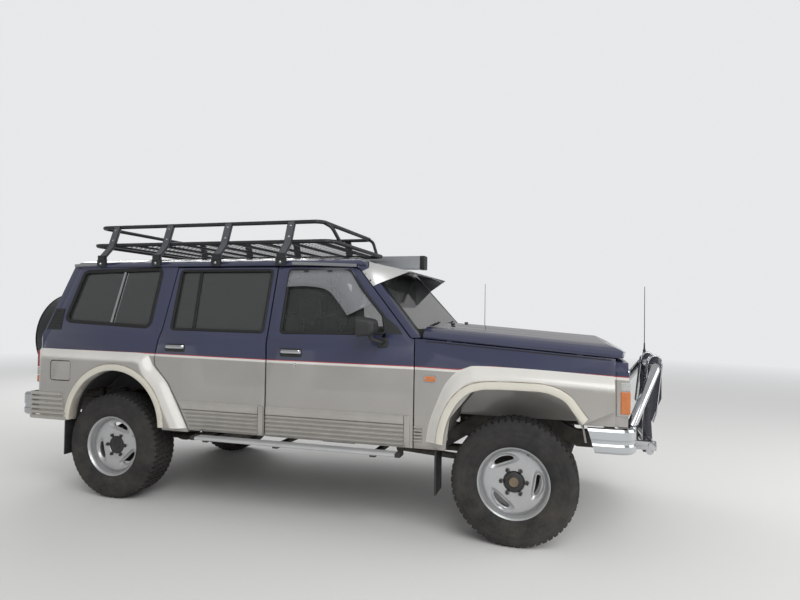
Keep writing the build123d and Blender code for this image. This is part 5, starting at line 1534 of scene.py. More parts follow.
def buildHeadLamps(s, z0, z1):
    x = grille["x"] + axleX
    for side, way in bothSides:
        low, high = sorted(way * y for y in s["y"])
        blockPiece(f"headlamp{side}Bowl", [((x - 0.004, low, z0), (x + 0.009, high, z1))], "mirrorFace", "body",
                   0.008, 3)
        bm = bmesh.new()
        rows = []
        for i in range(s["steps"] + 1):
            u = i / s["steps"] * 2 - 1
            y = (low + high) / 2 + u * (high - low) / 2 * 0.97
            shares = [k / s["steps"] * 2 - 1 for k in range(s["steps"] + 1)]
            rows.append([bm.verts.new((x + 0.008 + s["bulge"] * (1 - u ** 4) * (1 - v ** 4), y,
                                       s["middleZ"] + v * s["halfZ"])) for v in shares])
        netOver(bm, rows)
        thicken(wrap(f"headlamp{side}Glass", bm, "lampGlass", "body"), 0.003)
        bm = bmesh.new()
        addFrame(bm, x + 0.010, low, high, z0, z1, 0.016, s["rim"])
        wrap(f"headlamp{side}Rim", bm, "chrome", "body")


def buildCornerLamps(s):  # painted corner with a clear lamp over an orange one that wrap onto the fender
    for side, way in bothSides:
        (x0, x1), (y0, y1), (z0, z1) = s["panelX"], s["panelY"], s["panelZ"]
        blockPiece(f"corner{side}Panel", [((x0 + axleX, way * y0, z0), (x1 + axleX, way * y1, z1))], "bodyPaint",
                   "body", 0.006, 3)
        (x0, x1), (y0, y1) = s["x"], s["y"]
        for label, finish, z0, z1 in s["rows"]:
            blockPiece(f"cornerlamp{side}{label}", [((x0 + axleX, way * y0, z0), (x1 + axleX, way * y1, z1))],
                       finish, "body", 0.008, 4)


def buildTailLamps(s):  # red over clear over orange on each rear corner, in a black surround
    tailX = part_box("lamps")[0][0]
    for side, way in bothSides:
        y0, y1 = (way * y for y in s["y"])
        for label, finish, z0, z1 in s["rows"]:
            blockPiece(f"taillamp{side}{label}", [((tailX, y0, z0), (tailX + s["deep"], y1, z1))], finish, "body",
                       0.004, 3)
    backs = nodes["lamps"].data.copy()
    bm = meshToBmesh(backs)
    bmesh.ops.remove_doubles(bm, verts=bm.verts, dist=2e-5)
    for island in islands(bm):
        middle = sum((v.co for v in island), Vector()) / len(island)
        for v in island:
            v.co = middle + (v.co - middle) * 0.985
            v.co.x -= math.copysign(0.003, middle.x)
    bm.to_mesh(backs)
    bm.free()
    wrap("lampBacks", backs, "blackTrim", "body", smoothAngle=None, replaces=("lamps",))


def islands(bm):  # vertices of each loose part
    left = set(bm.verts)
    found = []
    while left:
        stack = [left.pop()]
        group = set(stack)
        while stack:
            for edge in stack.pop().link_edges:
                for v in edge.verts:
                    if v in left:
                        left.discard(v)
                        group.add(v)
                        stack.append(v)
        found.append(list(group))
    return found


buildGrille(grille)
buildHeadLamps(headLamp, grille["lowZ"], grille["highZ"])
buildCornerLamps(cornerLamp)
buildTailLamps(tailLamp)
print("grille and lamps ready")


bumper = {"frontX": 0.706, "wingX": 0.427, "low": 0.613, "high": 0.765, "half": 0.925, "out": 0.040,
          "rearZ": (0.580, 0.755), 
          "cut": [(0.385, 0.55), (0.478, 0.55), (0.472, 0.612), (0.427, 0.766), (0.385, 0.80)]}


def bumperProfile(low, high, out):  # (outward, z) section of a pressed chrome bumper
    return [(0.0, low + 0.004), (0.006, low), (out - 0.010, low + 0.004), (out, low + 0.016), (out, low + 0.050),
            (out - 0.006, low + 0.060), (out - 0.006, low + 0.078), (out, low + 0.088), (out, high - 0.018),
            (out - 0.008, high - 0.005), (0.008, high), (0.0, high - 0.004)]


def bumperRun(path, low, high, out):  # pressed section carried round a plan path
    bm = bmesh.new()
    rings = []
    for i, p in enumerate(path):
        way = (path[min(i + 1, len(path) - 1)] - path[max(i - 1, 0)]).normalized()
        outward = Vector((way.y, -way.x, 0))
        rings.append([bm.verts.new(p + outward * a + Vector((0, 0, z))) for a, z in bumperProfile(low, high, out)])
    skinOver(bm, rings)
    return bm


def buildBumpers(s):
    out = s["out"]
    frontX, wingX, half = s["frontX"] + axleX - out, s["wingX"] + axleX, s["half"] - out
    corners = [(wingX, -half, 0), (wingX + 0.10, -half, 0), (frontX, -half, 0), (frontX, half, 0),
               (wingX + 0.10, half, 0), (wingX, half, 0)]
    path = roundedPath(corners, [0, 0, 0.115, 0.115, 0, 0], 10)
    piece = wrap("frontBumper", bumperRun(path, s["low"], s["high"], out), "chrome", smoothAngle=28)
    knife = bmesh.new()
    addPlate(knife, s["cut"], lambda p: (p[0] + axleX, -1, p[1]), lambda p: (p[0] + axleX, 1, p[1]))
    cutAway(piece, knife)
    resharp(piece, 28)
    carried(piece, "body", ("front_bumper",))
    low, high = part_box("rear_bumper")
    tail, rearX, half = high[0], low[0] + out, high[1] - out
    corners = [(tail, half, 0), (rearX, half, 0), (rearX, -half, 0), (tail, -half, 0)]
    path = roundedPath(corners, [0, 0.075, 0.075, 0], 10)
    wrap("rearBumper", bumperRun(path, *s["rearZ"], out), "chrome", "body", smoothAngle=28,
         replaces=("rear_bumper",))


buildBumpers(bumper)


bullBar = {"edge": [(0.880, 0.700), (0.900, 0.760), (0.934, 1.090), (0.928, 1.135), (0.905, 1.155), (0.868, 1.150),
                    (0.846, 1.115), (0.812, 0.790)],
           "uprightY": 0.190, "halfWidth": 0.028, "tube": 0.0055, "darkY": (0.150, 0.230), "tubesAhead": 0.690}


def buildBullBar(s):  # dark uprights with bright edges, and bright tubes
    for side, way in bothSides:
        bm = bmesh.new()
        for y in (way * s["uprightY"] - s["halfWidth"], way * s["uprightY"] + s["halfWidth"]):
            loop = [Vector((x + axleX, y, z)) for x, z in s["edge"]]
            addSweep(bm, roundedPath(loop, 0.03, 4), circleSection(s["tube"], 10))
        wrap(f"bar{side}Edges", bm, "polishedTube", "body")
    piece = roundedCopy("bull_bar", "bullBar", "darkPlate", "body", 0.002, smoothAngle=42)
    inner, outer = s["darkY"]
    refinish(piece, "polishedTube", lambda face: not inner < abs(face.center.y) < outer
             and face.center.x > s["tubesAhead"] + axleX)


print("bumpers ready")


# roof rack
rack = {"tube": 0.0155, "lowY": 0.620, "lowZ": 1.937, "rear": -3.450, "front": -1.340, "highY": 0.570, "highZ": 2.090,
        "nose": -1.440, "legs": (-3.252, -2.738, -2.212, -1.678), "legWidth": 0.060, "slats": 9, "foot": 0.7335,
        "thick": 0.004, "wire": 0.0016, "longWires": 23, "crossWires": 40}
clampBolt = [(0, 0), (0, 0.011), (0.003, 0.011), (0.004, 0.0085), (0.0105, 0.008), (0.012, 0.006), (0.012, 0)]
legBolt = [(0, 0), (0, 0.008), (0.004, 0.0078), (0.006, 0.005), (0.006, 0)]


def addRing(bm, x0, x1, half, z, radius):  # level tube round the rack
    corners = [(x0, -half, z), (x1, -half, z), (x1, half, z), (x0, half, z)]
    addSweep(bm, roundedPath(corners, 0.07, 8, closed=True), circleSection(radius, 16), closed=True)


def buildRack(s):
    r, lowY, lowZ, highY, highZ = (s[key] for key in ("tube", "lowY", "lowZ", "highY", "highZ"))
    rear, front, nose = s["rear"] + axleX, s["front"] + axleX, s["nose"] + axleX
    bm = bmesh.new()
    addRing(bm, rear, front, lowY, lowZ, r)
    addRing(bm, rear + 0.020, nose, highY, highZ, r)
    for way in (1, -1):
        stay = [(nose - 0.01, way * (highY - 0.07), highZ), (nose + 0.045, way * (highY - 0.085), highZ - 0.030),
                (front, way * (lowY - 0.19), lowZ)]
        addSweep(bm, roundedPath(stay, 0.09, 8), circleSection(r * 0.88, 14))
    wrap("rackTubes", bm, "rackBlack", "body", smoothAngle=40, replaces=("roof_rack",))
    bm = bmesh.new()
    addBlock(bm, (-0.020, -lowY, lowZ - 0.008), (0.020, lowY, lowZ + 0.0075), 0.003)
    step = (front - rear - 0.26) / (s["slats"] - 1)
    repeated("rackSlats", bm, "rackBlack", "body", s["slats"], (step, 0, 0), centre=(rear + 0.13, 0, 0))
    bm = bmesh.new()
    addSweep(bm, [(rear + 0.01, 0, lowZ + 0.009), (front - 0.01, 0, lowZ + 0.009)], circleSection(s["wire"], 6))
    step = 2 * (lowY - 0.02) / (s["longWires"] - 1)
    repeated("rackMeshLong", bm, "rackBlack", "body", s["longWires"], (0, step, 0), centre=(0, -lowY + 0.02, 0))
    bm = bmesh.new()
    addSweep(bm, [(0, -lowY + 0.005, lowZ + 0.0118), (0, lowY - 0.005, lowZ + 0.0118)], circleSection(s["wire"], 6))
    step = (front - rear - 0.03) / (s["crossWires"] - 1)
    repeated("rackMeshCross", bm, "rackBlack", "body", s["crossWires"], (step, 0, 0), centre=(rear + 0.015, 0, 0))
    buildRackLegs(s)


def buildRackLegs(s):  # pressed grey legs from the clamps up to the upper ring, with folded flanges
    lowY, lowZ, highY, highZ, foot, w = (s[key] for key in ("lowY", "lowZ", "highY", "highZ", "foot", "legWidth"))
    w /= 2
    line = [(foot + 0.006, 1.770), (foot + 0.010, 1.832), (lowY + 0.030, lowZ - 0.012), (lowY + 0.0195, lowZ + 0.02),
            (highY + 0.018, highZ + 0.004)]
    legs, clamps, bolts = bmesh.new(), bmesh.new(), bmesh.new()
    for x in s["legs"]:
        x += axleX
        for way in (1, -1):
            for x0, x1, deep in ((x - w, x + w, s["thick"]), (x - w, x - w + 0.004, 0.020),
                                 (x + w - 0.004, x + w, 0.020)):
                rows = line + [(y - deep, z - deep * 0.15) for y, z in line][::-1]
                addPlate(legs, rows, lambda p: (x0, way * p[0], p[1]), lambda p: (x1, way * p[0], p[1]))
            low, high = sorted((way * (foot - 0.002), way * (foot + 0.020)))
            addBlock(clamps, (x - 0.040, low, 1.752), (x + 0.040, high, 1.806))
            addBlock(clamps, (x - 0.030, low - 0.004, 1.800), (x + 0.030, high - 0.002, 1.842))
            addLathe(bolts, clampBolt, (x, way * (foot + 0.0195), 1.776), (0, way, 0), 6)
            for z in (1.905, 1.975, 2.060):
                share = (z - lowZ) / (highZ - lowZ)
                y = lowY + 0.022 - (lowY - highY) * share if z > lowZ else lowY + 0.036
                addLathe(bolts, legBolt, (x, way * y, z), (0, way, 0.3), 12)
    wrap("rackLegs", legs, "rackGrey", "body", smoothAngle=30)
    wrap("rackClamps", clamps, "rackBlack", "body")
    wrap("rackBolts", bolts, "chrome", "body")


buildRack(rack)


awningCase = {"deep": 0.110, "capTall": 0.127, "cap": 0.048, "proud": 0.002, "lidInset": 0.030}


def buildAwning(s):
    roundedCopy("awning", "awningCase", "awningSilver", "body", 0.012, 4)
    low, high = (Vector(corner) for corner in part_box("awning"))
    y0, y1 = high.y - s["deep"], high.y
    z0, z1 = high.z - s["capTall"], high.z + 0.003
    blockPiece("awningEnds", [((low.x - s["proud"], y0 - 0.003, z0), (low.x + s["cap"], y1 + 0.003, z1)),
                              ((high.x - s["cap"], y0 - 0.003, z0), (high.x + s["proud"], y1 + 0.003, z1))],
               "blackTrim", "body", 0.010, 3)
    blockPiece("awningLid", [((low.x + s["lidInset"], y0 + 0.004, high.z - 0.006),
                              (high.x - s["lidInset"], y1 - 0.004, high.z + 0.0012))],
               "blackTrim", "body", 0.003)


buildAwning(awningCase)
print("roof rack and awning ready")


# bonnet, scuttle, visor, wipers and aerials
frontTrim = {"line": [(-560, 1242), (-100, 1209), (300, 1181), (560, 1162)], "lineY": 894.5, "jetY": (-0.30, 0.30),
             "jet": (-0.512, -0.484, 1.338, 1.352)}


def buildFrontTrim(s):  # black strip painted as the shade in the shut line between bonnet and fender, then washer jets
    for side, way in bothSides:
        bm = bmesh.new()
        addSweep(bm, [fromAxle(x, way * s["lineY"], z) for x, z in s["line"]],
                 [(-0.0035, -0.0035), (-0.0035, 0.0035), (0.0015, 0.0035), (0.0015, -0.0035)])
        wrap(f"shutGapShade{side}", bm, "sealRubber", "body")
    bm = bmesh.new()
    x0, x1, z0, z1 = s["jet"]
    for y in s["jetY"]:
        addBlock(bm, (x0 + axleX, y - 0.014, z0), (x1 + axleX, y + 0.014, z1), 0.005, 3)
    wrap("washerJets", bm, "blackTrim", "bonnet")


noseSkin = {"back": 2.116, "ahead": 2.177, "half": 0.640, "bow": 0.083, "columns": 32, "rows": 5, "thick": 0.003}


def buildNoseSkin(s):  # skin that closes the bonnet's top behind its front edge
    packed = meshToBmesh(nodes["bonnet"].data)
    surface = BVHTree.FromBMesh(packed)
    packed.free()
    bm = bmesh.new()
    grid = []
    for k in range(s["columns"] + 1):
        y = s["half"] * (2 * k / s["columns"] - 1)
        ends = [surface.ray_cast(Vector((x, y, 3)), Vector((0, 0, -1)))[0] + Vector((0, 0, 0.0006))
                for x in (s["back"] + s["bow"] * y * y, s["ahead"] + 0.25 * s["bow"] * y * y)]
        grid.append([bm.verts.new(ends[0].lerp(ends[1], i / s["rows"])) for i in range(s["rows"] + 1)])
    netOver(bm, grid)
    piece = wrap("bonnetNose", bm, "bodyPaint", smoothAngle=40)
    thicken(piece, s["thick"])
    carried(piece, "bonnet")


wiper = {"pivots": {"Right": -450, "Left": 130}, "reach": Vector((-0.034, 0.480, 0.034)), "clips": (0.18, 0.5, 0.82),
         "arm": [(-0.006, -0.0025), (-0.006, 0.0025), (0.006, 0.0025), (0.006, -0.0025)],
         "blade": [(-0.0045, -0.004), (-0.0045, 0.003), (0.0045, 0.003), (0.0045, -0.004)],
         "hub": [(0, 0), (0, 0.013), (0.010, 0.0125), (0.016, 0.010), (0.018, 0.006), (0.018, 0)]}
aerials = {"radio": ((-421, 876, 1248), [(0, 0), (0, 0.013), (0.012, 0.0125), (0.020, 0.0075), (0.030, 0.005),
                                         (0.034, 0.0028), (0.453, 0.0020), (0.453, 0)]),
           "whip": ((880, 260, 1108), [(0, 0), (0, 0.015), (0.014, 0.0145), (0.016, 0.011), (0.060, 0.0105),
                                       (0.064, 0.0065), (0.110, 0.0050), (0.114, 0.0030), (0.5415, 0.0022),
                                       (0.5415, 0)])}


def buildWipers(s):
    for label, pivotY in s["pivots"].items():
        pivot = fromAxle(-628, pivotY, 1318)
        end = pivot + s["reach"]
        bm = bmesh.new()
        addLathe(bm, s["hub"], pivot, (0, 0, 1), 20)
        addSweep(bm, [pivot + Vector((0, 0, 0.013)), pivot.lerp(end, 0.28) + Vector((0, 0, 0.016)),
                      pivot.lerp(end, 0.5) + Vector((0.004, 0, 0.014)),
                      pivot.lerp(end, 0.58) + Vector((0, 0, 0.004))], s["arm"])
        start, end = pivot.lerp(end, 0.14) + Vector((-0.012, 0, 0.006)), end + Vector((-0.004, 0, 0))
        addSweep(bm, [start, start.lerp(end, 0.5) + Vector((-0.002, 0, 0.002)), end], s["blade"])
        for share in s["clips"]:
            p = start.lerp(end, share)
            addBlock(bm, p + Vector((-0.006, -0.016, 0.001)), p + Vector((0.006, 0.016, 0.009)), 0.0025)
        wrap(f"wiper{label}", bm, "blackTrim", "body", smoothAngle=40)
    bm = bmesh.new()
    addBlock(bm, fromAxle(-640, -20, 1318), fromAxle(-622, 20, 1326), 0.002)
    wrap("scuttleCap", bm, "blackTrim", "body", replaces=("wipers_and_aerials",))


def buildAerials(s):
    for label, (place, profile) in s.items():
        foot = fromAxle(*place)
        bm = bmesh.new()
        addLathe(bm, profile, foot, (0, 0, 1), 20)
        if label == "whip":
            addBlock(bm, foot + Vector((-0.020, -0.016, -0.030)), foot + Vector((0.014, 0.016, 0.004)), 0.003)
        wrap(f"{label}Aerial", bm, "blackTrim", "body")


# sun visor: crowned smoked sheet with silver near cheeks and flanges on the pillars
visor = {"rear": (-1.058, 1.781), "tip": (-0.747, 1.7125), "halfRear": 0.660, "halfTip": 0.616,
         "crown": 0.012, "thick": 0.004,
         "rows": 8, "columns": 28, "curl": 0.0036, "screws": ((-1025, 753.5, 1685), (-985, 768, 1640)),
         "screw": [(0, 0), (0, 0.0075), (0.003, 0.0065), (0.0042, 0.003), (0.0042, 0)]}


def buildVisor(s):
    bm = bmesh.new()
    (rearX, rearZ), (tipX, tipZ) = s["rear"], s["tip"]
    grid = []
    for i in range(s["rows"] + 1):
        t = i / s["rows"]
        x, z = rearX + (tipX - rearX) * t + axleX, rearZ + (tipZ - rearZ) * t
        half = s["halfRear"] + (s["halfTip"] - s["halfRear"]) * t
        curl = s["curl"] * max(0.0, t - 0.8) / 0.2
        shares = [k / s["columns"] * 2 - 1 for k in range(s["columns"] + 1)]
        grid.append([bm.verts.new((x - 0.010 * u * u * t, u * half, z - s["crown"] * t * u * u - curl))
                     for u in shares])
    netOver(bm, grid)
    sheet = wrap("visorSheet", bm, "smokedSheet", smoothAngle=40)
    thicken(sheet, s["thick"])
    carried(sheet, "body")
    frame = roundedCopy("sun_visor", "visorFrame", "smokedSheet", "body", 0.0015)
    refinish(frame, "visorSilver", lambda face: abs(face.center.y) > 0.640 and face.center.z < 1.752
             or abs(face.center.y) > 0.700)
    bm = bmesh.new()
    for way in (1, -1):
        for x, y, z in s["screws"]:
            addLathe(bm, s["screw"], fromAxle(x, way * y, z), (0, way, 0.3), 16)
    wrap("visorScrews", bm, "blackTrim", "body")


shield = {"upper": [(-1600, 1722), (-1400, 1727), (-1150, 1722), (-1060, 1600), (-960, 1478)],
          "lower": [(-1600, 1596), (-1440, 1600), (-1290, 1572), (-1190, 1480), (-1120, 1400)],
          "upperOut": 0.0035, "lowerOut": 0.0160, "bow": 0.006, "clips": (-1470, -1290)}


def buildShields(s):  # weather shield over each front door's window
    for side, way in bothSides:
        bm = bmesh.new()
        top = curveThrough([onSkin(x, z, way, s["upperOut"]) for x, z in s["upper"]], 6)
        low = curveThrough([onSkin(x, z, way, s["lowerOut"]) for x, z in s["lower"]], 6)
        middle = [p.lerp(q, 0.5) + Vector((0, way * s["bow"], 0)) for p, q in zip(top, low)]
        netOver(bm, [[bm.verts.new(p) for p in row] for row in (top, middle, low)])
        piece = wrap(f"weather{side}Shield", bm, "shieldSheet", smoothAngle=50)
        thicken(piece, 0.0025)
        carried(piece, f"front_{side.lower()}_door")
        bm = bmesh.new()
        for x in s["clips"]:
            p = onSkin(x, 1709, way, 0.0125)
            addBlock(bm, p - Vector((0.017, 0.0035, 0.006)), p + Vector((0.017, 0.0035, 0.006)), 0.002)
        wrap(f"shield{side}Clips", bm, "blackTrim", f"front_{side.lower()}_door")


buildFrontTrim(frontTrim)
buildNoseSkin(noseSkin)
buildWipers(wiper)
buildAerials(aerials)
buildVisor(visor)
buildShields(shield)
buildBullBar(bullBar)
print("bonnet trim, wipers, visor and bar ready")


# side steps and mud flaps
stepPlank = {"x": (-2.235, -0.695), "y": (0.900, 0.985), "top": 0.532, "low": 0.509, "ribs": 9, "cap": 0.040}


def buildSteps(s):
    x0, x1 = (v + axleX for v in s["x"])
    (y0, y1), top, low = s["y"], s["top"], s["low"]
    pitch = (y1 - y0 - 0.012) / s["ribs"]
    rows = [(y0, low + 0.003), (y0, top - 0.004)]
    for k in range(s["ribs"]):
        base = y0 + 0.006 + pitch * k
        rows += [(base, top - 0.003), (base + pitch * 0.18, top), (base + pitch * 0.62, top),
                 (base + pitch * 0.8, top - 0.003)]
    rows += [(y1 - 0.003, top - 0.002), (y1, top - 0.006), (y1, low + 0.006), (y1 - 0.005, low)]
    for side, way in bothSides:
        bm = bmesh.new()
        addProfileRun(bm, rows, lambda z: (x0 + 0.035, x1 - 0.035), way)
        wrap(f"step{side}Plank", bm, "stepAluminium", "body", smoothAngle=28)
        caps = [((start, way * y0, low - 0.002), (start + s["cap"], way * (y1 + 0.002), top + 0.002))
                for start in (x0, x1 - s["cap"])]
        blockPiece(f"step{side}Caps", caps, "blackTrim", "body", 0.008, 3)
    piece = roundedCopy("side_steps", "stepBrackets", "chassisBlack", "body", 0.002)
    bm = meshToBmesh(piece.data)
    dropFaces(bm, [((x0 - 0.02, a, 0.500), (x1 + 0.02, b, 0.540)) for a, b in ((-1.0, -0.896), (0.896, 1.0))])
    bm.to_mesh(piece.data)
    bm.free()


flapBolts = {"places": ((-489, 535), (-3389, 545)), "y": (710, 780, 850),
             "head": [(0, 0), (0, 0.009), (0.003, 0.0085), (0.005, 0.005), (0.005, 0)]}


def buildFlaps(s):
    roundedCopy("mudflaps", "mudFlaps", "blackTrim", "body")
    bm = bmesh.new()
    for way in (1, -1):
        for x, z in s["places"]:
            for y in s["y"]:
                addLathe(bm, s["head"], fromAxle(x, way * y, z), (-1, 0, 0), 14)
    wrap("flapBolts", bm, "chrome", "body")


buildSteps(stepPlank)
buildFlaps(flapBolts)
print("steps and mud flaps ready")


# back doors: spare wheel cover, window seals, handle
spare = {"y": -0.280, "z": 1.165, "seamTube": 0.0035, "seams": ((-0.034, 0.0035), (0.066, 0.0025)),
         "carrier": [(-0.004, 0), (-0.004, 0.10), (0.040, 0.095), (0.042, 0)]}
backHandle = {"y": 0.150, "z": 0.985, "dish": ((0.085, 0.955), (0.205, 1.025)),
              "lever": (((-0.022, 0.095, 0.992), (-0.012, 0.195, 1.012)),
                        ((-0.020, 0.180, 0.990), (-0.002, 0.196, 1.014))),
              "lock": [(0, 0), (0, 0.009), (0.003, 0.0085), (0.004, 0.006), (0.003, 0.003), (0.003, 0)]}


def buildSpareCover(s):
    low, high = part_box("spare_wheel")
    x1, radius, deep = high[0], (high[2] - low[2]) / 2, high[0] - low[0]
    place = (x1, s["y"], s["z"])
    profile = [(0.040, 0), (0.040, radius * 0.60), (0.046, radius * 0.93), (0.060, radius - 0.006),
               (0.085, radius - 0.001), (0.140, radius), (deep - 0.060, radius), (deep - 0.030, radius - 0.006),
               (deep - 0.010, radius - 0.024), (deep - 0.002, radius - 0.050), (deep, radius - 0.090),
               (deep - 0.001, radius * 0.5), (deep - 0.004, 0)]
    bm = bmesh.new()
    addLathe(bm, profile, place, (-1, 0, 0), 96)
    wrap("spareCover", bm, "coverVinyl", "back_right_door", smoothAngle=35, replaces=("spare_wheel",))
    bm = bmesh.new()
    for along, inset in s["seams"]:
        along = along % deep  # a negative one is measured from the far face
        loop = [(x1 - along, s["y"] + y, s["z"] + z) for y, z in circleSection(radius - inset, 72)]
        addSweep(bm, loop, circleSection(s["seamTube"], 8), closed=True, up=(1, 0, 0))
    wrap("spareSeams", bm, "sealRubber", "back_right_door")
    bm = bmesh.new()
    addLathe(bm, s["carrier"], place, (-1, 0, 0), 32)
    wrap("spareCarrier", bm, "chassisBlack", "back_right_door")


def buildBackSeals():
    section = [(a * 1.5, b * 1.4) for a, b in rubberSection]
    for side in ("right", "left"):
        low, high = (Vector(corner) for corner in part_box(f"back_{side}_glass"))
        y0, y1, z0, z1 = low.y + 0.006, high.y - 0.006, low.z + 0.004, high.z - 0.004
        x0, x1 = low.x - 0.004, high.x - 0.010
        corners = [(x0, y0, z0), (x0, y1, z0), (x1, y1, z1), (x1, y0, z1)]
        bm = bmesh.new()
        addSweep(bm, roundedPath(corners, 0.035, 6, closed=True), section, closed=True, up=(-1, 0, 0.1))
        wrap(f"back{side.capitalize()}WindowRubber", bm, "sealRubber", f"back_{side}_door")


def buildBackHandle(s):  # lever handle in a dark dish beside the shut line, with a lock under it
    packed = meshToBmesh(nodes["back_right_door"].data)
    skin = BVHTree.FromBMesh(packed).ray_cast(Vector((-4, s["y"], s["z"])), Vector((1, 0, 0)))[0].x
    packed.free()
    low, high = s["dish"]
    blockPiece("backHandleDish", [((skin - 0.004, *low), (skin + 0.004, *high))], "blackTrim", "back_right_door",
               0.0035, 3)
    bm = bmesh.new()
    for low, high in s["lever"]:
        addBlock(bm, Vector(low) + Vector((skin, 0, 0)), Vector(high) + Vector((skin, 0, 0)), 0.004, 3)
    addLathe(bm, s["lock"], (skin - 0.004, 0.115, 0.970), (-1, 0, 0), 20)
    wrap("backHandle", bm, "chrome", "back_right_door")


buildSpareCover(spare)
buildBackSeals()
buildBackHandle(backHandle)
print("spare cover and back windows ready")


# seats
seatPads = {
    "frontCushion": {"x": (-1720, -1232), "z": (742, 902), "crown": 0.016, "bolster": 0.022, "seams": (0.62,),
                     "flutes": (-0.45, -0.05, 0.35)},
    "frontBack": {"x": (-1846, -1724), "z": (765, 1380), "crown": 0.018, "bolster": 0.020, "seams": (0.60,),
                  "flutes": (-0.55, -0.2, 0.15, 0.5)},
    "headrest": {"x": (-1812, -1748), "z": (1405, 1572), "half": 128, "crown": 0.008, "seams": (0.8,)},
    "benchCushion": {"x": (-2438, -2014), "z": (760, 926), "half": 582, "crown": 0.016, "seams": (0.335, 0.98),
                     "flutes": (-0.4, 0.1)},
    "benchBack": {"x": (-2566, -2444), "z": (815, 1356), "half": 582, "crown": 0.016, "seams": (0.335, 0.98),
                  "flutes": (-0.45, 0.0, 0.45)},
    "frontY": 400, "frontHalf": 222, "rod": [(0, 0), (0, 0.006), (0.060, 0.006), (0.060, 0)]}


def padMesh(low, high, face, crown, bolster=0.0, seams=(), flutes=()):
    # a stuffed block: rounded corners, crowned face, sides drawn in, bolsters and sewn channels; face is x or z
    bm = bmesh.new()
    bmesh.ops.create_cube(bm, size=2.0)
    bmesh.ops.subdivide_edges(bm, edges=bm.edges[:], cuts=21, use_grid_fill=True)
    middle, half = (low + high) / 2, (high - low) / 2
    faceAxis, alongAxis = ("z", "x") if face == "z" else ("x", "z")
    for v in bm.verts:
        u = v.co / sum(abs(c) ** 7.0 for c in v.co) ** (1 / 7.0)
        out, along, across = getattr(u, faceAxis), getattr(u, alongAxis), u.y
        up = max(0.0, out) ** 3
        swell = crown * (1 - along ** 2) * (1 - across ** 2)
        sewn = sum(math.exp(-((abs(across) - place) / 0.035) ** 2) for place in seams)
        if abs(across) < (seams[0] if seams else 0.93):
            sewn += sum(0.7 * math.exp(-((along - place) / 0.03) ** 2) for place in flutes)
        raised = bolster * (1 / (1 + math.exp(-(abs(across) - (seams[0] if seams else 0.7) - 0.10) * 28)))
        lift = (swell - 0.009 * min(1.0, sewn) + raised - crown) * up
        pull = 0.010 * (1 - abs(out)) * (1 - min(1.0, abs(along * across)))
        p = Vector((u.x * half.x, u.y * half.y, u.z * half.z))
        setattr(p, faceAxis, getattr(p, faceAxis) + lift - bolster * up)
        for axis, share in ((alongAxis, along), ("y", across)):
            place = getattr(p, axis)
            setattr(p, axis, place - math.copysign(pull, place) * (abs(share) > 0.8))
        v.co = middle + p
    return bm


def seatPiece(name, x, y, z, face, crown, bolster=0.0, seams=(), flutes=(), replaces=()):
    low, high = fromAxle(x[0], y[0], z[0]), fromAxle(x[1], y[1], z[1])
    piece = wrap(name, padMesh(low, high, face, crown, bolster, seams, flutes), "seatCloth", "body", smoothAngle=60,
                 replaces=replaces)


def buildSeats(s):
    trim, rods = bmesh.new(), bmesh.new()
    first = ("seats",)
    for label, middle in (("Right", -s["frontY"]), ("Left", s["frontY"])):
        y0, y1 = middle - s["frontHalf"], middle + s["frontHalf"]
        pad = s["frontCushion"]
        seatPiece(f"frontSeat{label}Cushion", pad["x"], (y0, y1), pad["z"], "z", pad["crown"], pad["bolster"],
                  pad["seams"], pad["flutes"], first)
        first = ()
        pad = s["frontBack"]
        seatPiece(f"frontSeat{label}Back", pad["x"], (y0 + 4, y1 - 4), pad["z"], "x", pad["crown"], pad["bolster"],
                  pad["seams"], pad["flutes"])
        pad = s["headrest"]
        seatPiece(f"frontSeat{label}Headrest", pad["x"], (middle - pad["half"], middle + pad["half"]), pad["z"], "x",
                  pad["crown"], seams=pad["seams"])
        for dy in (-55, 55):
            addLathe(rods, s["rod"], fromAxle(-1781, middle + dy, 1365), (0, 0, 1), 12)
        addBlock(trim, fromAxle(-1722, y0 + 8, 628), fromAxle(-1236, y1 - 8, 742), 0.015, 3)
    for name, face in (("Cushion", "z"), ("Back", "x")):
        pad = s[f"bench{name}"]
        seatPiece(f"rearBench{name}", pad["x"], (-pad["half"], pad["half"]), pad["z"], face, pad["crown"], 0.0,
                  pad["seams"], pad["flutes"])
    half = s["benchCushion"]["half"] - 8
    addBlock(trim, fromAxle(-2438, -half, 628), fromAxle(-2030, half, 760), 0.015, 3)
    wrap("seatBases", trim, "carpet", "body")
    wrap("headrestRods", rods, "chrome", "body")


buildSeats(seatPads)
print("seats ready")


# dashboard, dials and steering wheel
dash = {"rear": (-0.960, 1.190), "low": (-0.900, 0.980), "hood": (0.030, 1.128, 1.2615),
        "dials": ((-0.455, 0.046, 1.198), (-0.300, 0.046, 1.198), (-0.377, 0.026, 1.190)),
        "vents": (-0.640, -0.110, 0.110, 0.640), "radio": (0.985, 1.048), "glove": (0.240, 0.600, 0.990, 1.130)}


def dashFace(z):  # x of the leaning face towards the seats
    (rearX, rearZ), (lowX, lowZ) = dash["rear"], dash["low"]
    return rearX + (lowX - rearX) * (rearZ - z) / (rearZ - lowZ) + axleX


def addOnDash(bm, y0, y1, z0, z1, proud, bevel=0.0015):  # block that leans with the face
    made = bmesh.ops.create_cube(bm, size=1.0, matrix=Matrix.Translation((0, (y0 + y1) / 2, (z0 + z1) / 2))
                                 @ Matrix.Diagonal((0.012, y1 - y0, z1 - z0, 1)))
    for v in made["verts"]:
        v.co.x = dashFace(v.co.z) + (0.006 if v.co.x > 0 else -proud)
    edges = {e for v in made["verts"] for e in v.link_edges}
    bmesh.ops.bevel(bm, geom=list(edges), offset=bevel, segments=2, profile=0.6, affect="EDGES")


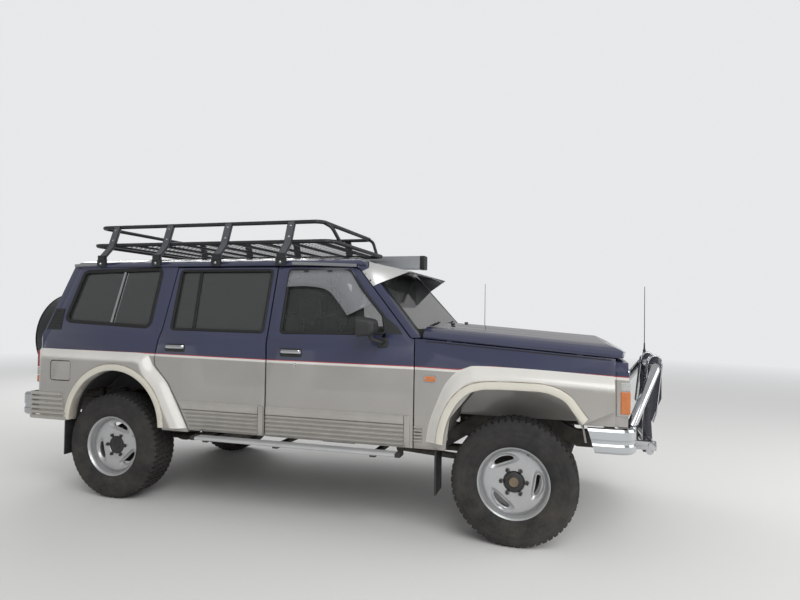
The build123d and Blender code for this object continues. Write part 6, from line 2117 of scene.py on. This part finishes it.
def buildDash(s):
    roundedCopy("dashboard", "dashTop", "dashPlastic", "body", 0.012, 3)
    proud, low, high = s["hood"]
    x = s["rear"][0] + axleX - proud
    blockPiece("clockHood", [((x, -0.560, low), (x + 0.100, -0.180, high))], "dashPlastic", "body", 0.016, 4)
    rims, dials, marks = bmesh.new(), bmesh.new(), bmesh.new()
    for y, radius, z in s["dials"]:
        addLathe(rims, [(-0.002, radius + 0.004), (0.0035, radius + 0.003), (0.0035, radius), (0.001, radius - 0.001),
                        (-0.002, radius - 0.001)], (x, y, z), (-1, 0, 0), 32, closed=True)
        addLathe(dials, [(-0.002, 0), (-0.002, radius), (0.0008, radius), (0.0008, 0)], (x, y, z), (-1, 0, 0), 32)
        for k in range(11):
            angle = math.radians(-130 + 26 * k)
            p = Vector((x - 0.0014, y + (radius - 0.008) * math.sin(angle), z + (radius - 0.008) * math.cos(angle)))
            half = Vector((0.0005, 0.0012, 0.0012))
            addBlock(marks, p - half, p + half, 0)
        needle = math.radians(-100)
        tip = (x - 0.0018, y + math.sin(needle) * radius * 0.7, z + math.cos(needle) * radius * 0.7)
        addSweep(marks, [(x - 0.0018, y, z), tip], circleSection(0.0009, 6))
    wrap("dialRims", rims, "chrome", "body")
    wrap("dialFaces", dials, "sealRubber", "body")
    wrap("dialMarks", marks, "dialCream", "body")
    buildControls(s)


def buildControls(s):  # vents, radio, switches and the glove box lid
    bm = bmesh.new()
    for y in s["vents"]:
        for k in range(4):
            z = 1.116 + 0.016 * k
            addOnDash(bm, y - 0.055, y + 0.055, z, z + 0.008, 0.004)
    for z in s["radio"]:
        addOnDash(bm, -0.095, 0.095, z, z + 0.052, 0.004)
    for k in range(5):
        addOnDash(bm, -0.078 + 0.032 * k, -0.056 + 0.032 * k, 1.184, 1.1895, 0.006)
    wrap("dashControls", bm, "blackTrim", "body")
    bm = bmesh.new()
    addOnDash(bm, *s["glove"], 0.005, 0.004)
    wrap("gloveLid", bm, "dashPlastic", "body")


steering = {"centre": (-1090, -370, 1130), "lean": 28.0, "ring": 0.185, "tube": (0.0145, 0.0140),
            "spokes": (90, 205, 335),
            "hub": [(0.0, 0), (-0.010, 0.045), (-0.006, 0.060), (0.010, 0.066), (0.030, 0.058), (0.040, 0.030),
                    (0.056, 0.028), (0.056, 0)],
            "spoke": [(-0.020, -0.006), (-0.016, 0.006), (0.016, 0.006), (0.020, -0.006)]}


def buildSteeringWheel(s):
    lean = math.radians(s["lean"])
    axis, up = Vector((math.cos(lean), 0, -math.sin(lean))), Vector((math.sin(lean), 0, math.cos(lean)))
    centre = fromAxle(*s["centre"])
    tall, wide = s["tube"]
    bm = bmesh.new()
    turns = [2 * math.pi * k / 16 for k in range(16)]
    ring = [(tall * math.sin(turn), s["ring"] + wide * math.cos(turn)) for turn in turns]
    addLathe(bm, ring, centre, axis, 72, closed=True)
    wrap("steeringRing", bm, "dashPlastic", "steering_wheel", replaces=("steering_wheel",))
    bm = bmesh.new()
    addLathe(bm, s["hub"], centre, axis, 32)
    for angle in s["spokes"]:
        a = math.radians(angle)
        way = Vector((0, 1, 0)) * math.cos(a) + up * math.sin(a) * (-1 if angle == 90 else 1)
        start, end = centre + way * 0.04 + axis * 0.008, centre + way * 0.178
        addSweep(bm, [start, start.lerp(end, 0.6) + axis * 0.003, end], s["spoke"], up=-axis)
    wrap("steeringHub", bm, "dashPlastic", "steering_wheel", smoothAngle=45)


buildDash(dash)
buildSteeringWheel(steering)
print("dashboard and steering wheel ready")


# springs and dampers
spring = {"radius": 0.051, "wire": 0.0085, "turns": 6.5, "low": 0.4385, "frontTop": 0.693, "rearTop": 0.683,
          "y": 0.492}


def buildSprings(s):
    first = ("suspension",)
    dampers = bmesh.new()
    for end, x, top in (("front", axleX, s["frontTop"]), ("rear", rearX, s["rearTop"])):
        tall = top - s["low"]
        for side, way in bothSides:
            piece = wrap(f"{end}{side}Spring", bpy.data.meshes.new("spring"), "chassisBlack", smoothAngle=None)
            grow(piece, "spring", Turns=s["turns"], Radius=s["radius"], Height=tall - 2 * s["wire"], Wire=s["wire"],
                 Base=(x, way * s["y"], s["low"] + s["wire"]), Finish=finishes["chassisBlack"])
            piece.data.shade_smooth()
            carried(piece, "body", first)
            first = ()
            addLathe(dampers, [(0, 0), (0, 0.024), (0.006, 0.026), (tall * 0.52, 0.026), (tall * 0.52, 0.0115),
                               (tall * 0.56, 0.0110), (tall * 0.56, 0.028), (tall * 0.93, 0.028),
                               (tall * 0.94, 0.012), (tall, 0.012), (tall, 0)],
                     (x - 0.106, way * (s["y"] + 0.020), s["low"]), (0, 0, 1), 28)
            for z in (s["low"] + 0.001, top - 0.012):
                addLathe(dampers, [(0, 0.020), (0, 0.060), (0.010, 0.060), (0.010, 0.020)], (x, way * s["y"], z),
                         (0, 0, 1), 28, closed=True)
    wrap("dampers", dampers, "castIron", "body")


buildSprings(spring)
print("springs and dampers ready")


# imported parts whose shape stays, with their finishes
keptFinishes = {"floor_pan": "carpet", "chassis_frame": "chassisBlack", "front_axle": "chassisBlack",
                "rear_axle": "chassisBlack", "left_knuckle": "chassisBlack", "right_knuckle": "chassisBlack",
                "driveline": "castIron", "engine_block": "castIron", "fixed_glass": "darkGlass",
                "back_left_glass": "darkGlass", "back_right_glass": "darkGlass", "front_left_glass": "clearGlass",
                "front_right_glass": "clearGlass", "rear_left_glass": "darkGlass", "rear_right_glass": "darkGlass"}


def finishKept(table):
    for node, finish in table.items():
        mesh = nodes[node].data
        mesh.materials.clear()
        mesh.materials.append(finishes[finish])


finishKept(keptFinishes)
print("kept parts finished")


# end
print("scene ready")
